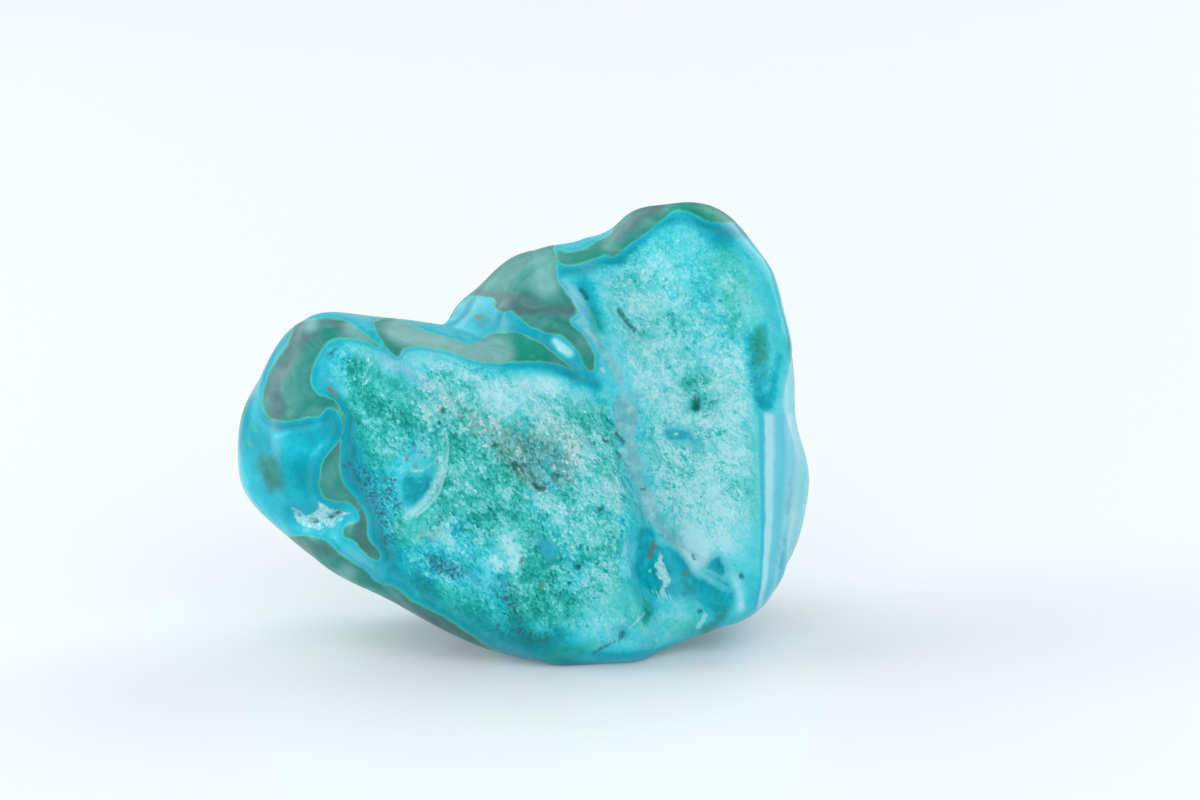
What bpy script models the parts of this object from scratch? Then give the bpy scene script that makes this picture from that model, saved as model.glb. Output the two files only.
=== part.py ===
"""Chrysocolla and malachite freeform: one polished stone, in metres, +Z up, standing on its base.

The stone is three rounded bodies grown into one: a long left lobe, a tall right lobe and a dome
behind the saddle between them. Each lobe is a block of flat facets whose edges are worn round.
The origin is under the middle of the stone's box, at the height of the base.
"""

import math

import bmesh
import bpy
import numpy as np

MM = 0.001

# Driving dimensions, in millimetres.
GRID_CUTS = 27  # cuts along each side of the starting cube
CORE = np.array([4.0, 6.0, 19.0])  # a point well inside, from which every part of the surface is seen
REACH = 60.0  # further from the core than any part of the surface
HALVINGS = 26  # steps of the search for the surface along each ray
WEAR = 2.0  # how far a facet's edge is worn, as a radius
SHOULDER = 1.4  # how softly the dome runs into the right lobe
CREASE = 1.0  # how softly the left lobe runs into the rest
SHORTEST_EDGE = 0.25  # edges of the base shorter than this are closed up

STONE_COLOUR = (0.08, 0.42, 0.42, 1.0)
STONE_ROUGHNESS = 0.4

# A facet is (azimuth, elevation, distance): where it looks, in degrees, and how far it lies from its
# lobe's middle. Azimuth 0 looks to the front, -Y, and 90 to the right, +X.
LEFT_MIDDLE = np.array([-9.0, 3.0, 18.0])
LEFT_FACETS = {
    "front": (0, 12, 10.8),
    "front right": (40, 35, 15.8),
    "front left": (-48, 5, 16.6),
    "front, under": (0, -35, 21.6),
    "top": (90, 77, 13.8),
    "upper left": (-98, 32, 19.7),
    "left end": (-90, 0, 24.0),
    "lower left": (-83, -44, 17.4),
    "under left": (-74, -60, 14.0),
    "right": (90, 0, 22.5),
    "back": (180, 0, 14.0),
    "back, upper": (180, 50, 14.8),
    "back left": (-135, 0, 17.0),
    "back, under": (180, -50, 21.0),
    "base": (0, -90, 19.4),
}
RIGHT_MIDDLE = np.array([16.0, 8.0, 22.0])
RIGHT_FACETS = {
    "front, upper": (-12, 27, 7.4),
    "front, lower": (-12, 10, 10.5),
    "top": (90, 88, 24.6),
    "top left": (-98, 60, 21.1),
    "top right": (100, 64, 23.1),
    "upper right": (96, 26, 15.8),
    "right": (90, -3, 12.1),
    "lower right": (84, -44, 19.8),
    "under right": (75, -76, 22.6),
    "left": (-84, -12, 11.0),
    "back": (180, 0, 16.0),
    "back right": (135, 0, 14.5),
    "back, upper": (180, 45, 21.0),
    "back, under": (180, -45, 21.8),
    "base": (0, -90, 23.4),
}
HEEL_MIDDLE = np.array([19.9, 8.0, 13.5])
HEEL_RADII = np.array([8.7, 9.0, 10.2])
DOME_MIDDLE = np.array([3.6, 12.5, 25.9])
DOME_RADII = np.array([10.6, 15.0, 11.6])

# Relief is (depth, radius, points): how far the surface is pressed in along a line through the points,
# and how wide. A negative depth raises it.
RELIEF = {
    "valley behind the left lobe": (0.5, 1.3, [(-6.7, 6.3, 31.1), (-0.9, 0.2, 31.0), (6.0, -1.8, 28.6)]),
    "seam between the lobes": (
        0.9,
        1.9,
        [(8.5, -1.0, 27.0), (10.5, -0.8, 23.2), (12.1, -2.8, 17.6), (14.7, -3.6, 11.7), (16.6, -4.7, 8.2)],
    ),
    "crescent crease": (
        0.8,
        1.0,
        [(-8.0, -7.0, 22.5), (-7.5, -7.3, 20.8), (-8.2, -8.0, 17.6), (-11.2, -8.6, 14.9)],
    ),
    "swell inside the crescent": (-0.5, 2.2, [(-10.8, -7.8, 18.8)]),
    "shoulder of the left lobe": (-0.7, 4.5, [(-12.9, -6.7, 23.5)]),
    "dished middle": (0.9, 5.5, [(0.5, -7.0, 20.5), (5.0, -6.5, 19.5)]),
    "brown pit": (1.3, 1.5, [(0.9, -7.4, 18.8), (2.6, -7.4, 18.6)]),
    "slit": (1.5, 0.8, [(9.8, 4.4, 33.5), (11.7, 4.0, 31.3)]),
    "pits beside the seam": (1.2, 1.3, [(16.9, 1.8, 26.2), (19.1, 0.7, 24.9)]),
    "white pocket": (1.1, 1.2, [(3.7, -0.9, 31.1), (5.4, -1.5, 29.7)]),
    "ridge over the pocket": (-0.6, 1.2, [(-0.9, 3.1, 33.5), (4.1, 0.0, 32.6), (7.0, -0.5, 30.0)]),
    "hollow beside the dome": (0.8, 1.5, [(6.5, 4.4, 35.3), (7.8, 2.0, 31.5)]),
    "open vug": (1.3, 1.2, [(-21.5, -6.0, 14.1), (-17.6, -8.0, 14.8)]),
    "hole at the bottom": (1.0, 0.9, [(10.1, -9.3, 3.5)]),
    "crusted recess": (0.9, 1.7, [(11.9, -6.5, 11.5), (12.6, -6.6, 7.9), (17.9, -5.2, 7.6)]),
    "groove down the right side": (0.6, 1.1, [(24.2, -0.3, 24.1), (24.0, -3.0, 17.6), (23.7, -5.2, 10.1)]),
    "dent in the right side": (1.1, 4.0, [(27.2, 4.5, 24.6)]),
    "hollow in the back": (1.4, 7.0, [(14.3, 23.9, 22.6)]),
    "furrow down the back": (0.9, 1.8, [(0.5, 25.8, 30.6), (-2.5, 24.5, 22.4), (-1.5, 19.2, 16.5)]),
    "swell of the left lobe's back": (-0.9, 5.0, [(-11.2, 16.0, 18.0)]),
    "pit in the back": (1.2, 1.6, [(8.6, 23.1, 14.3), (10.2, 23.0, 13.2)]),
    "dimple in the left end": (0.7, 2.6, [(-25.0, 12.5, 20.0)]),
    "dip between the dome and the top": (0.9, 3.0, [(8.6, 13.0, 39.0), (7.6, 18.5, 38.2), (5.0, 16.0, 38.2)]),
    "swell of the dome's left": (-0.9, 2.8, [(-6.6, 13.4, 32.0)]),
}
# Low waves over the whole surface are (height, wave vector, phase).
WAVES = {
    "long": (0.16, (0.42, 0.30, 0.18), 0.4),
    "steep": (0.14, (-0.26, 0.22, 0.55), 1.9),
    "short": (0.09, (0.75, -0.60, 0.50), 3.1),
}


def normals_of(facets):
    """Unit vectors of the facets, from their azimuths and elevations."""
    azimuth, elevation = np.radians([facet[:2] for facet in facets.values()]).T
    return np.stack(
        [
            np.sin(azimuth) * np.cos(elevation),
            -np.cos(azimuth) * np.cos(elevation),
            np.sin(elevation),
        ],
        axis=1,
    )


def worn_block(points, middle, facets):
    """Distance outside a block of facets: the soft maximum of the distances in front of each of them."""
    distances = np.array([facet[2] for facet in facets.values()])
    outside = (points - middle) @ normals_of(facets).T - distances
    highest = outside.max(axis=1)
    return highest + WEAR * np.log(np.exp((outside - highest[:, None]) / WEAR).sum(axis=1))


def ellipsoid(points, middle, radii):
    """Distance outside an ellipsoid, true near its surface."""
    scaled = (points - middle) / radii
    size = np.linalg.norm(scaled, axis=1)
    slope = np.linalg.norm(scaled / radii, axis=1)
    return size * (size - 1.0) / np.maximum(slope, 1e-6)


def joined(first, second, softness):
    """Soft minimum: two bodies that run into each other with a rounded valley."""
    lowest = np.minimum(first, second)
    return lowest - softness * np.log1p(np.exp(-np.abs(first - second) / softness))


def off_line(points, corners):
    """Distance of each point from a line through the corners."""
    corners = np.array(corners + corners[-1:])
    nearest = np.full(len(points), np.inf)
    for start, end in zip(corners[:-1], corners[1:]):
        along = end - start
        share = np.clip((points - start) @ along / max(along @ along, 1e-9), 0.0, 1.0)
        nearest = np.minimum(nearest, np.linalg.norm(points - start - share[:, None] * along, axis=1))
    return nearest


def relief(points):
    """How far the surface is pressed in: each line's depth * exp(-(distance / radius)^2), and the waves."""
    pressed = np.zeros(len(points))
    for depth, radius, corners in RELIEF.values():
        pressed += depth * np.exp(-((off_line(points, corners) / radius) ** 2))
    for height, vector, phase in WAVES.values():
        pressed += height * np.sin(points @ np.array(vector) + phase)
    return pressed


def outside_stone(points):
    """Distance outside the stone before its base is cut flat, in millimetres. It is negative inside."""
    left = worn_block(points, LEFT_MIDDLE, LEFT_FACETS)
    right = worn_block(points, RIGHT_MIDDLE, RIGHT_FACETS)
    heel = ellipsoid(points, HEEL_MIDDLE, HEEL_RADII)
    dome = ellipsoid(points, DOME_MIDDLE, DOME_RADII)
    right = joined(joined(right, heel, CREASE), dome, SHOULDER)
    return joined(left, right, CREASE) + relief(points)


def surface_points(directions):
    """The point where a ray from the core leaves the stone, for each unit direction, by halving."""
    near = np.zeros(len(directions))
    far = np.full(len(directions), REACH)
    for _ in range(HALVINGS):
        middle = (near + far) / 2
        inside = outside_stone(CORE + directions * middle[:, None]) < 0
        near = np.where(inside, middle, near)
        far = np.where(inside, far, middle)
    return CORE + directions * near[:, None]


def cut_base(grid):
    """Cut away all that lies below the floor and close the stone there with flat faces."""
    cut = bmesh.ops.bisect_plane(
        grid,
        geom=grid.verts[:] + grid.edges[:] + grid.faces[:],
        dist=1e-7,
        plane_co=(0, 0, 0),
        plane_no=(0, 0, -1),
        clear_outer=True,
    )
    corners = [item for item in cut["geom_cut"] if isinstance(item, bmesh.types.BMVert)]
    bmesh.ops.remove_doubles(grid, verts=corners, dist=SHORTEST_EDGE * MM)
    rim = [edge for edge in grid.edges if edge.is_boundary]
    bmesh.ops.contextual_create(grid, geom=rim)
    bmesh.ops.triangulate(grid, faces=grid.faces[:])


def centre(grid):
    """Move the stone so that the middle of its box is above the origin."""
    places = np.array([vertex.co for vertex in grid.verts])
    middle = (places.min(axis=0) + places.max(axis=0)) / 2
    bmesh.ops.translate(grid, verts=grid.verts[:], vec=(-middle[0], -middle[1], 0.0))


def stone_material():
    """Polished chrysocolla, in one even colour."""
    material = bpy.data.materials.new("chrysocolla")
    material.use_nodes = True
    shader = material.node_tree.nodes["Principled BSDF"]
    shader.inputs["Base Color"].default_value = STONE_COLOUR
    shader.inputs["Roughness"].default_value = STONE_ROUGHNESS
    shader.inputs["Metallic"].default_value = 0.0
    return material


def build_stone(collection):
    """A cube cut into a grid, blown up to a sphere and then moved out to the stone's surface."""
    mesh = bpy.data.meshes.new("stone")
    grid = bmesh.new()
    bmesh.ops.create_cube(grid, size=2.0)
    bmesh.ops.subdivide_edges(grid, edges=grid.edges[:], cuts=GRID_CUTS, use_grid_fill=True)
    corners = np.array([vertex.co for vertex in grid.verts])
    spread = np.tan(corners * math.pi / 4)
    directions = spread / np.linalg.norm(spread, axis=1)[:, None]
    places = surface_points(directions) * MM
    for vertex, place in zip(grid.verts, places):
        vertex.co = place
    cut_base(grid)
    centre(grid)
    grid.to_mesh(mesh)
    grid.free()
    mesh.shade_smooth()
    mesh.materials.append(stone_material())
    collection.objects.link(bpy.data.objects.new("stone", mesh))


def main():
    for obj in list(bpy.data.objects):
        bpy.data.objects.remove(obj)
    collection = bpy.data.collections.new("chrysocolla_specimen")
    bpy.context.scene.collection.children.link(collection)
    build_stone(collection)


main()
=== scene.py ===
"""The finish of the chrysocolla and malachite freeform: its fine surface, its bands and its crust.

The stone is worked out again from the same named dimensions as the solid, on a grid fine enough for
its grain and small pits. What is only colour is held as plain numbers on the mesh's points, mostly
distances in millimetres from an outline or a line, and one material turns them into colour and gloss.
"""

import math

import bpy
import numpy as np
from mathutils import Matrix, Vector


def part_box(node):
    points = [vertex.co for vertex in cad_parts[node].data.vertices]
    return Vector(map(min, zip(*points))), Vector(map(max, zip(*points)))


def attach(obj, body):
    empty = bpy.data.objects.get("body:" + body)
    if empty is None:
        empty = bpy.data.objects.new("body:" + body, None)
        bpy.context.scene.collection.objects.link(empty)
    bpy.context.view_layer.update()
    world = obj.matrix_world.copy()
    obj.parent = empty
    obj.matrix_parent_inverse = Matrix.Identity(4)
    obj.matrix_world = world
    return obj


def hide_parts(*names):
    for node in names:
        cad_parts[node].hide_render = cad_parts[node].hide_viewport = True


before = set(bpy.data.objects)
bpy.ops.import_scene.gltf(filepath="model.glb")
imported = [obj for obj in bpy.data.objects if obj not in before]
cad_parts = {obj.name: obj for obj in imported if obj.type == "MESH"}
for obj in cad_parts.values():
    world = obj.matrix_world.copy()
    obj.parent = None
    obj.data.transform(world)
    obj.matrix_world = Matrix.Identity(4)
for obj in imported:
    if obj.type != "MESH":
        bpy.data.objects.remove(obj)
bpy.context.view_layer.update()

MM = 0.001

# ---------------------------------------------------------------------------------------------------
# The stone's form, in millimetres: the dimensions of the solid.

CORE = np.array([4.0, 6.0, 19.0])
REACH = 60.0
HALVINGS = 22
WEAR = 2.0
SHOULDER = 1.4
CREASE = 1.0

# A facet is (azimuth, elevation, distance) from its lobe's middle. Azimuth 0 looks to -Y, 90 to +X.
LEFT_MIDDLE = np.array([-9.0, 3.0, 18.0])
LEFT_FACETS = {
    "front": (0, 12, 10.8),
    "front right": (40, 35, 15.8),
    "front left": (-48, 5, 16.6),
    "front, under": (0, -35, 21.6),
    "top": (90, 77, 13.8),
    "upper left": (-98, 32, 19.7),
    "left end": (-90, 0, 24.0),
    "lower left": (-83, -44, 17.4),
    "under left": (-74, -60, 14.0),
    "right": (90, 0, 22.5),
    "back": (180, 0, 14.0),
    "back, upper": (180, 50, 14.8),
    "back left": (-135, 0, 17.0),
    "back, under": (180, -50, 21.0),
    "base": (0, -90, 19.4),
}
RIGHT_MIDDLE = np.array([16.0, 8.0, 22.0])
RIGHT_FACETS = {
    "front, upper": (-12, 27, 7.4),
    "front, lower": (-12, 10, 10.5),
    "top": (90, 88, 24.6),
    "top left": (-98, 60, 21.1),
    "top right": (100, 64, 23.1),
    "upper right": (96, 26, 15.8),
    "right": (90, -3, 12.1),
    "lower right": (84, -44, 19.8),
    "under right": (75, -76, 22.6),
    "left": (-84, -12, 11.0),
    "back": (180, 0, 16.0),
    "back right": (135, 0, 14.5),
    "back, upper": (180, 45, 21.0),
    "back, under": (180, -45, 21.8),
    "base": (0, -90, 23.4),
}
HEEL_MIDDLE = np.array([19.9, 8.0, 13.5])
HEEL_RADII = np.array([8.7, 9.0, 10.2])
DOME_MIDDLE = np.array([3.6, 12.5, 25.9])
DOME_RADII = np.array([10.6, 15.0, 11.6])

# Relief is (depth, radius, points): how far the surface is pressed in along a line, and how wide.
RELIEF = {
    "valley behind the left lobe": (0.5, 1.3, [(-6.7, 6.3, 31.1), (-0.9, 0.2, 31.0), (6.0, -1.8, 28.6)]),
    "seam between the lobes": (
        0.9,
        1.9,
        [(8.5, -1.0, 27.0), (10.5, -0.8, 23.2), (12.1, -2.8, 17.6), (14.7, -3.6, 11.7), (16.6, -4.7, 8.2)],
    ),
    "crescent crease": (
        0.8,
        1.0,
        [(-8.0, -7.0, 22.5), (-7.5, -7.3, 20.8), (-8.2, -8.0, 17.6), (-11.2, -8.6, 14.9)],
    ),
    "swell inside the crescent": (-0.5, 2.2, [(-10.8, -7.8, 18.8)]),
    "shoulder of the left lobe": (-0.7, 4.5, [(-12.9, -6.7, 23.5)]),
    "dished middle": (0.9, 5.5, [(0.5, -7.0, 20.5), (5.0, -6.5, 19.5)]),
    "brown pit": (1.3, 1.5, [(0.9, -7.4, 18.8), (2.6, -7.4, 18.6)]),
    "slit": (1.5, 0.8, [(9.8, 4.4, 33.5), (11.7, 4.0, 31.3)]),
    "pits beside the seam": (1.2, 1.3, [(16.9, 1.8, 26.2), (19.1, 0.7, 24.9)]),
    "white pocket": (1.1, 1.2, [(3.7, -0.9, 31.1), (5.4, -1.5, 29.7)]),
    "ridge over the pocket": (-0.6, 1.2, [(-0.9, 3.1, 33.5), (4.1, 0.0, 32.6), (7.0, -0.5, 30.0)]),
    "hollow beside the dome": (0.8, 1.5, [(6.5, 4.4, 35.3), (7.8, 2.0, 31.5)]),
    "open vug": (1.3, 1.2, [(-21.5, -6.0, 14.1), (-17.6, -8.0, 14.8)]),
    "hole at the bottom": (1.0, 0.9, [(10.1, -9.3, 3.5)]),
    "crusted recess": (0.9, 1.7, [(11.9, -6.5, 11.5), (12.6, -6.6, 7.9), (17.9, -5.2, 7.6)]),
    "groove down the right side": (0.6, 1.1, [(24.2, -0.3, 24.1), (24.0, -3.0, 17.6), (23.7, -5.2, 10.1)]),
    "dent in the right side": (1.1, 4.0, [(27.2, 4.5, 24.6)]),
    "hollow in the back": (1.4, 7.0, [(14.3, 23.9, 22.6)]),
    "furrow down the back": (0.9, 1.8, [(0.5, 25.8, 30.6), (-2.5, 24.5, 22.4), (-1.5, 19.2, 16.5)]),
    "swell of the left lobe's back": (-0.9, 5.0, [(-11.2, 16.0, 18.0)]),
    "pit in the back": (1.2, 1.6, [(8.6, 23.1, 14.3), (10.2, 23.0, 13.2)]),
    "dimple in the left end": (0.7, 2.6, [(-25.0, 12.5, 20.0)]),
    "dip between the dome and the top": (0.9, 3.0, [(8.6, 13.0, 39.0), (7.6, 18.5, 38.2), (5.0, 16.0, 38.2)]),
    "swell of the dome's left": (-0.9, 2.8, [(-6.6, 13.4, 32.0)]),
}
# Low waves over the whole surface are (height, wave vector, phase).
WAVES = {
    "long": (0.16, (0.42, 0.30, 0.18), 0.4),
    "steep": (0.14, (-0.26, 0.22, 0.55), 1.9),
    "short": (0.09, (0.75, -0.60, 0.50), 3.1),
}

# ---------------------------------------------------------------------------------------------------
# The view that the drawing below is made in: from the front, looking down a little. It is drawn on a
# sheet of 120 by 80 mm that stands through AIM, square to the line of sight, with x to the right and
# y down from the sheet's top left corner. A point of the stone is drawn where the camera sees it.

LOOK_DOWN = math.radians(12.0)
CAMERA_AWAY = 440.0
SHEET = np.array([120.0, 80.0])
SHEET_UP = np.array([0.0, math.sin(LOOK_DOWN), math.cos(LOOK_DOWN)])
TO_CAMERA = np.array([0.0, -math.cos(LOOK_DOWN), math.sin(LOOK_DOWN)])
AIM = np.array([8.0, 0.0, 0.0]) + 24.5 * SHEET_UP

GRID = 124  # squares along each side of the cube that the fine surface is blown up from
FRONT_PULL = 0.5  # how far the grid's directions are drawn to the front, where the drawing is finest

# Malachite, as closed outlines on the sheet. They run on past the edge of the stone where it does.
MALACHITE = {
    "left end, with the drop and its tail": [
        (29.4, 32.4), (30.8, 32.0), (32.6, 31.8), (34.4, 32.0), (35.7, 32.7), (37.0, 33.8), (38.2, 34.9),
        (36.6, 34.2), (35.0, 33.9), (33.6, 34.0), (32.6, 34.4), (32.1, 35.2), (31.6, 36.2), (31.2, 37.4),
        (31.2, 38.5), (31.8, 39.3), (32.7, 39.6), (33.5, 40.0), (34.1, 40.9), (34.5, 42.0), (34.4, 43.2),
        (34.1, 44.5), (34.0, 45.9), (34.1, 47.2), (34.5, 48.4), (35.3, 49.4), (36.2, 50.7), (36.8, 51.9),
        (36.8, 53.2), (37.2, 54.3), (38.2, 55.5), (37.7, 56.1), (36.6, 55.4), (35.4, 54.2), (34.3, 53.5),
        (34.5, 52.6), (35.9, 52.1), (35.7, 51.1), (34.9, 50.3), (33.3, 50.1), (32.3, 49.7), (31.9, 48.6),
        (32.0, 47.0), (32.5, 45.7), (33.5, 44.5), (34.2, 43.3), (34.1, 42.0), (33.5, 41.0), (32.8, 40.8),
        (32.1, 41.6), (30.9, 41.8), (29.5, 42.0), (28.2, 42.2), (27.1, 41.9), (26.3, 41.0), (26.2, 39.5),
        (26.7, 37.6), (27.6, 36.0), (28.5, 34.7), (29.1, 33.4),
    ],
    "along the lower left edge": [
        (28.8, 53.9), (30.2, 53.5), (31.8, 53.8), (33.1, 54.5), (34.2, 55.5), (35.5, 56.3), (36.6, 57.0),
        (37.4, 57.9), (38.6, 58.5), (39.9, 58.8), (38.8, 59.1), (37.2, 58.9), (36.0, 59.2), (35.0, 60.2),
        (32.0, 58.8), (29.0, 56.6),
    ],
    "top of the left lobe": [
        (37.4, 32.1), (37.7, 33.3), (38.5, 34.5), (39.3, 35.5), (39.8, 35.7), (40.4, 35.0), (41.5, 34.6),
        (43.2, 34.8), (45.0, 35.2), (46.6, 35.8), (48.2, 36.2), (50.0, 36.3), (52.2, 36.2), (54.2, 36.2),
        (56.0, 36.6), (57.4, 37.1), (56.4, 36.1), (55.2, 35.1), (54.2, 34.3), (53.0, 33.7), (51.4, 33.2),
        (49.9, 33.2), (48.6, 33.5), (47.8, 34.1), (46.9, 34.5), (45.8, 34.1), (44.2, 33.6), (42.4, 33.0),
        (40.7, 32.3), (39.0, 31.8),
    ],
    "dome, with the ridge below it": [
        (44.8, 30.0), (46.4, 29.7), (48.2, 29.7), (49.5, 30.0), (49.3, 30.7), (50.1, 31.2), (51.2, 31.2),
        (52.0, 31.9), (53.0, 32.7), (54.4, 33.3), (56.0, 33.6), (57.1, 34.3), (57.9, 35.3), (58.3, 36.4),
        (58.9, 37.1), (59.4, 36.9), (59.5, 35.8), (59.1, 34.7), (58.3, 33.5), (57.3, 32.6), (57.0, 32.0),
        (57.7, 31.4), (57.6, 30.6), (57.0, 29.7), (56.3, 28.9), (55.7, 27.7), (55.7, 26.4), (55.5, 25.0),
        (55.0, 23.4), (52.0, 23.0), (47.6, 25.4), (44.8, 28.4),
    ],
    "rim of the tall lobe": [
        (55.7, 25.0), (57.0, 25.2), (58.3, 24.9), (59.6, 24.2), (61.0, 23.3), (62.0, 21.9), (64.0, 20.2),
        (66.0, 19.2), (68.2, 18.8), (70.6, 19.6), (72.8, 20.6), (74.6, 21.7), (74.2, 22.3), (72.8, 22.3),
        (71.2, 22.2), (69.9, 21.8), (68.8, 21.2), (67.8, 21.0), (66.7, 21.6), (65.6, 22.5), (64.4, 23.5),
        (63.2, 24.3), (62.2, 25.2), (61.2, 25.8), (60.3, 25.5), (59.2, 26.0), (58.0, 26.4), (56.8, 26.6),
        (55.8, 26.2),
    ],
    "left limb": [
        (22.8, 43.4), (23.4, 40.6), (24.5, 38.6), (25.3, 37.6), (25.1, 39.0), (24.7, 40.6), (24.2, 42.2),
        (23.6, 44.0),
    ],
    # Under the left lobe. Its pale strip is a painted reflection of the white floor, set in the pale table
    # below.
    "underside, outside its green lip": [
        (38.6, 58.4), (39.9, 59.0), (41.2, 60.0), (43.2, 61.0), (45.2, 62.1), (47.4, 63.6), (49.2, 64.9),
        (51.6, 65.9), (54.5, 66.6), (57.4, 66.9), (57.0, 69.0), (48.0, 68.0), (40.0, 64.0), (35.6, 60.4),
    ],
}

# White crust, as closed outlines: the lining of the vug, and a drip and a bump in the recess.
CRUST = {
    "vug": [
        (29.3, 51.5), (30.2, 51.6), (31.2, 51.4), (31.8, 50.8), (31.9, 50.1), (32.4, 50.5), (33.1, 50.9),
        (33.9, 51.1), (34.6, 51.3), (33.9, 51.6), (33.5, 52.1), (33.2, 52.8), (32.6, 52.5), (32.2, 52.1),
        (32.1, 52.5), (32.3, 53.2), (31.6, 52.9), (30.8, 52.7), (29.9, 52.3),
    ],
    "drip in the recess": [
        (65.9, 55.2), (66.2, 55.5), (66.2, 56.1), (66.5, 56.4), (66.6, 57.0), (66.9, 57.6), (67.1, 58.2),
        (66.8, 58.3), (66.8, 58.7), (66.4, 58.8), (66.2, 58.5), (66.5, 58.2), (66.0, 57.9), (65.6, 57.4),
        (65.7, 57.0), (65.4, 56.5), (65.8, 56.1),
    ],
    "bump in the recess": [
        (68.1, 59.5), (68.3, 59.1), (68.7, 59.2), (68.9, 59.7), (68.6, 60.1), (68.2, 59.9),
    ],
}

# Dense, glassy chrysocolla, as closed outlines: deep teal and smooth.
GLASSY = {
    "recess": [
        (64.0, 52.8), (63.7, 53.7), (63.6, 55.3), (63.4, 57.0), (63.8, 58.2), (64.7, 59.1), (65.5, 59.6),
        (66.3, 59.4), (67.3, 59.7), (68.0, 59.3), (68.9, 59.9), (69.7, 60.3), (70.8, 60.6), (71.5, 61.4),
        (72.7, 61.0), (73.5, 60.2), (73.2, 59.1), (72.8, 58.2), (72.6, 57.0), (72.2, 56.0), (71.7, 55.6),
        (71.2, 55.8), (70.8, 56.7), (70.7, 57.7), (70.2, 58.2), (69.5, 57.8), (69.0, 57.0), (68.6, 56.1),
        (68.1, 55.4), (67.2, 54.9), (66.3, 54.6), (65.7, 54.4), (65.6, 53.7), (65.3, 52.9), (64.7, 52.7),
    ],
    "pool inside the crescent": [
        (40.3, 47.8), (41.0, 47.5), (42.2, 47.6), (43.0, 46.8), (43.4, 45.4), (43.5, 46.8), (43.2, 48.2),
        (42.6, 49.4), (41.8, 50.3), (40.9, 50.5), (40.3, 49.8), (40.1, 48.8),
    ],
    "spot by the seam": [
        (66.4, 43.2), (67.0, 42.8), (68.0, 42.8), (68.9, 43.0), (69.2, 43.6), (69.7, 44.4), (70.0, 45.2),
        (69.4, 44.6), (68.8, 44.1), (67.8, 44.2), (66.9, 43.9),
    ],
    "blue spot of the lower face": [(54.0, 54.4), (54.8, 54.2), (55.5, 55.0), (55.3, 55.9), (54.6, 55.6)],
}

# Grey quartz in the seam, as closed outlines.
QUARTZ = {
    "upper vein": [
        (61.6, 39.6), (62.4, 39.1), (63.4, 40.0), (63.9, 41.3), (63.8, 42.7), (63.3, 43.9), (64.0, 45.4),
        (64.3, 47.0), (64.6, 48.3), (65.6, 49.6), (65.9, 51.0), (66.6, 52.3), (68.0, 53.6), (68.6, 55.0),
        (67.6, 54.7), (66.4, 54.0), (65.4, 52.6), (64.2, 51.6), (63.8, 50.2), (63.6, 48.6), (62.6, 47.0),
        (62.2, 45.6), (62.4, 44.2), (61.6, 43.0), (61.3, 41.2),
    ],
    "band beside the dome": [
        (57.9, 31.9), (58.8, 32.4), (59.8, 33.5), (60.7, 34.8), (61.6, 36.1), (62.3, 37.3), (62.2, 38.6),
        (61.5, 38.0), (60.9, 36.9), (60.2, 35.7), (59.4, 34.5), (58.5, 33.3),
    ],
    "chip beside the vein": [(63.0, 39.2), (63.6, 39.1), (64.1, 39.6), (63.8, 40.1), (63.2, 39.8)],
}

# Lines and spots are (width, points). They are drawn with round ends, and a spot is one point.
PALE_LINES = {
    "arc in the pool": (0.22, [(41.1, 47.0), (41.9, 47.1), (42.7, 46.8), (43.1, 46.2)]),
    "dot in the pool": (0.22, [(42.1, 48.2)]),
    "vug's spikes, left": (0.22, [(29.1, 50.8), (30.2, 51.3)]),
    "vug's spikes, lower left": (0.22, [(29.3, 51.3), (30.4, 51.6)]),
    "vug's spikes, right": (0.22, [(33.6, 51.1), (34.9, 51.4)]),
    "vug's tooth": (0.24, [(32.6, 52.6), (33.3, 52.9), (33.6, 52.2), (34.3, 51.8)]),
    "fleck under the vug": (0.26, [(33.4, 53.6), (33.7, 54.1)]),
    "white of the seam": (0.34, [(60.2, 36.9), (60.4, 37.2)]),
    "crust, dot": (0.40, [(65.0, 57.1)]),
    "outer edge of the crescent": (
        0.26,
        [(44.6, 43.4), (44.8, 44.8), (44.6, 46.6), (44.3, 48.0), (43.7, 49.5), (42.7, 50.7), (41.6, 51.6)],
    ),
    "crust, left drip's foot": (0.42, [(66.3, 58.8), (66.3, 59.6), (67.4, 59.8)]),
    "crust, left twig": (0.26, [(65.1, 59.1), (65.8, 59.3), (66.4, 59.7)]),
    "crust, lower edge": (0.52, [(68.7, 60.0), (69.2, 60.4), (69.8, 60.5), (70.2, 60.0)]),
    "crust, right drip": (0.58, [(70.1, 60.0), (70.3, 59.5), (70.8, 58.9)]),
    "crust, right fork": (0.50, [(71.8, 59.4), (71.8, 59.9), (71.2, 60.3), (70.7, 60.7)]),
    "crust, tail": (0.46, [(70.7, 60.7), (70.4, 61.8), (69.8, 62.7)]),
    # A painted highlight: a white glint on the blue spot.
    "highlight painted in the blue spot": (0.26, [(67.5, 43.4), (67.7, 43.4)]),
    "crack at the bottom": (0.22, [(66.2, 59.8), (64.8, 61.0), (63.4, 62.4), (62.8, 63.0)]),
    "spot at the bottom": (0.46, [(65.7, 64.0)]),
    "flecks of the cheek": (0.28, [(42.5, 40.9), (43.0, 42.4)]),
    "flecks of the cheek, low": (0.28, [(42.4, 41.6), (43.1, 43.0)]),
    "fleck of the brow": (0.28, [(41.6, 37.0), (42.2, 37.9)]),
    "fleck of the brow, right": (0.30, [(51.9, 38.2), (52.7, 38.9)]),
    "fleck of the light patch": (0.34, [(55.2, 41.4), (56.4, 42.0)]),
    "fleck above the stain": (0.30, [(53.2, 42.2), (54.6, 42.8)]),
}
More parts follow.
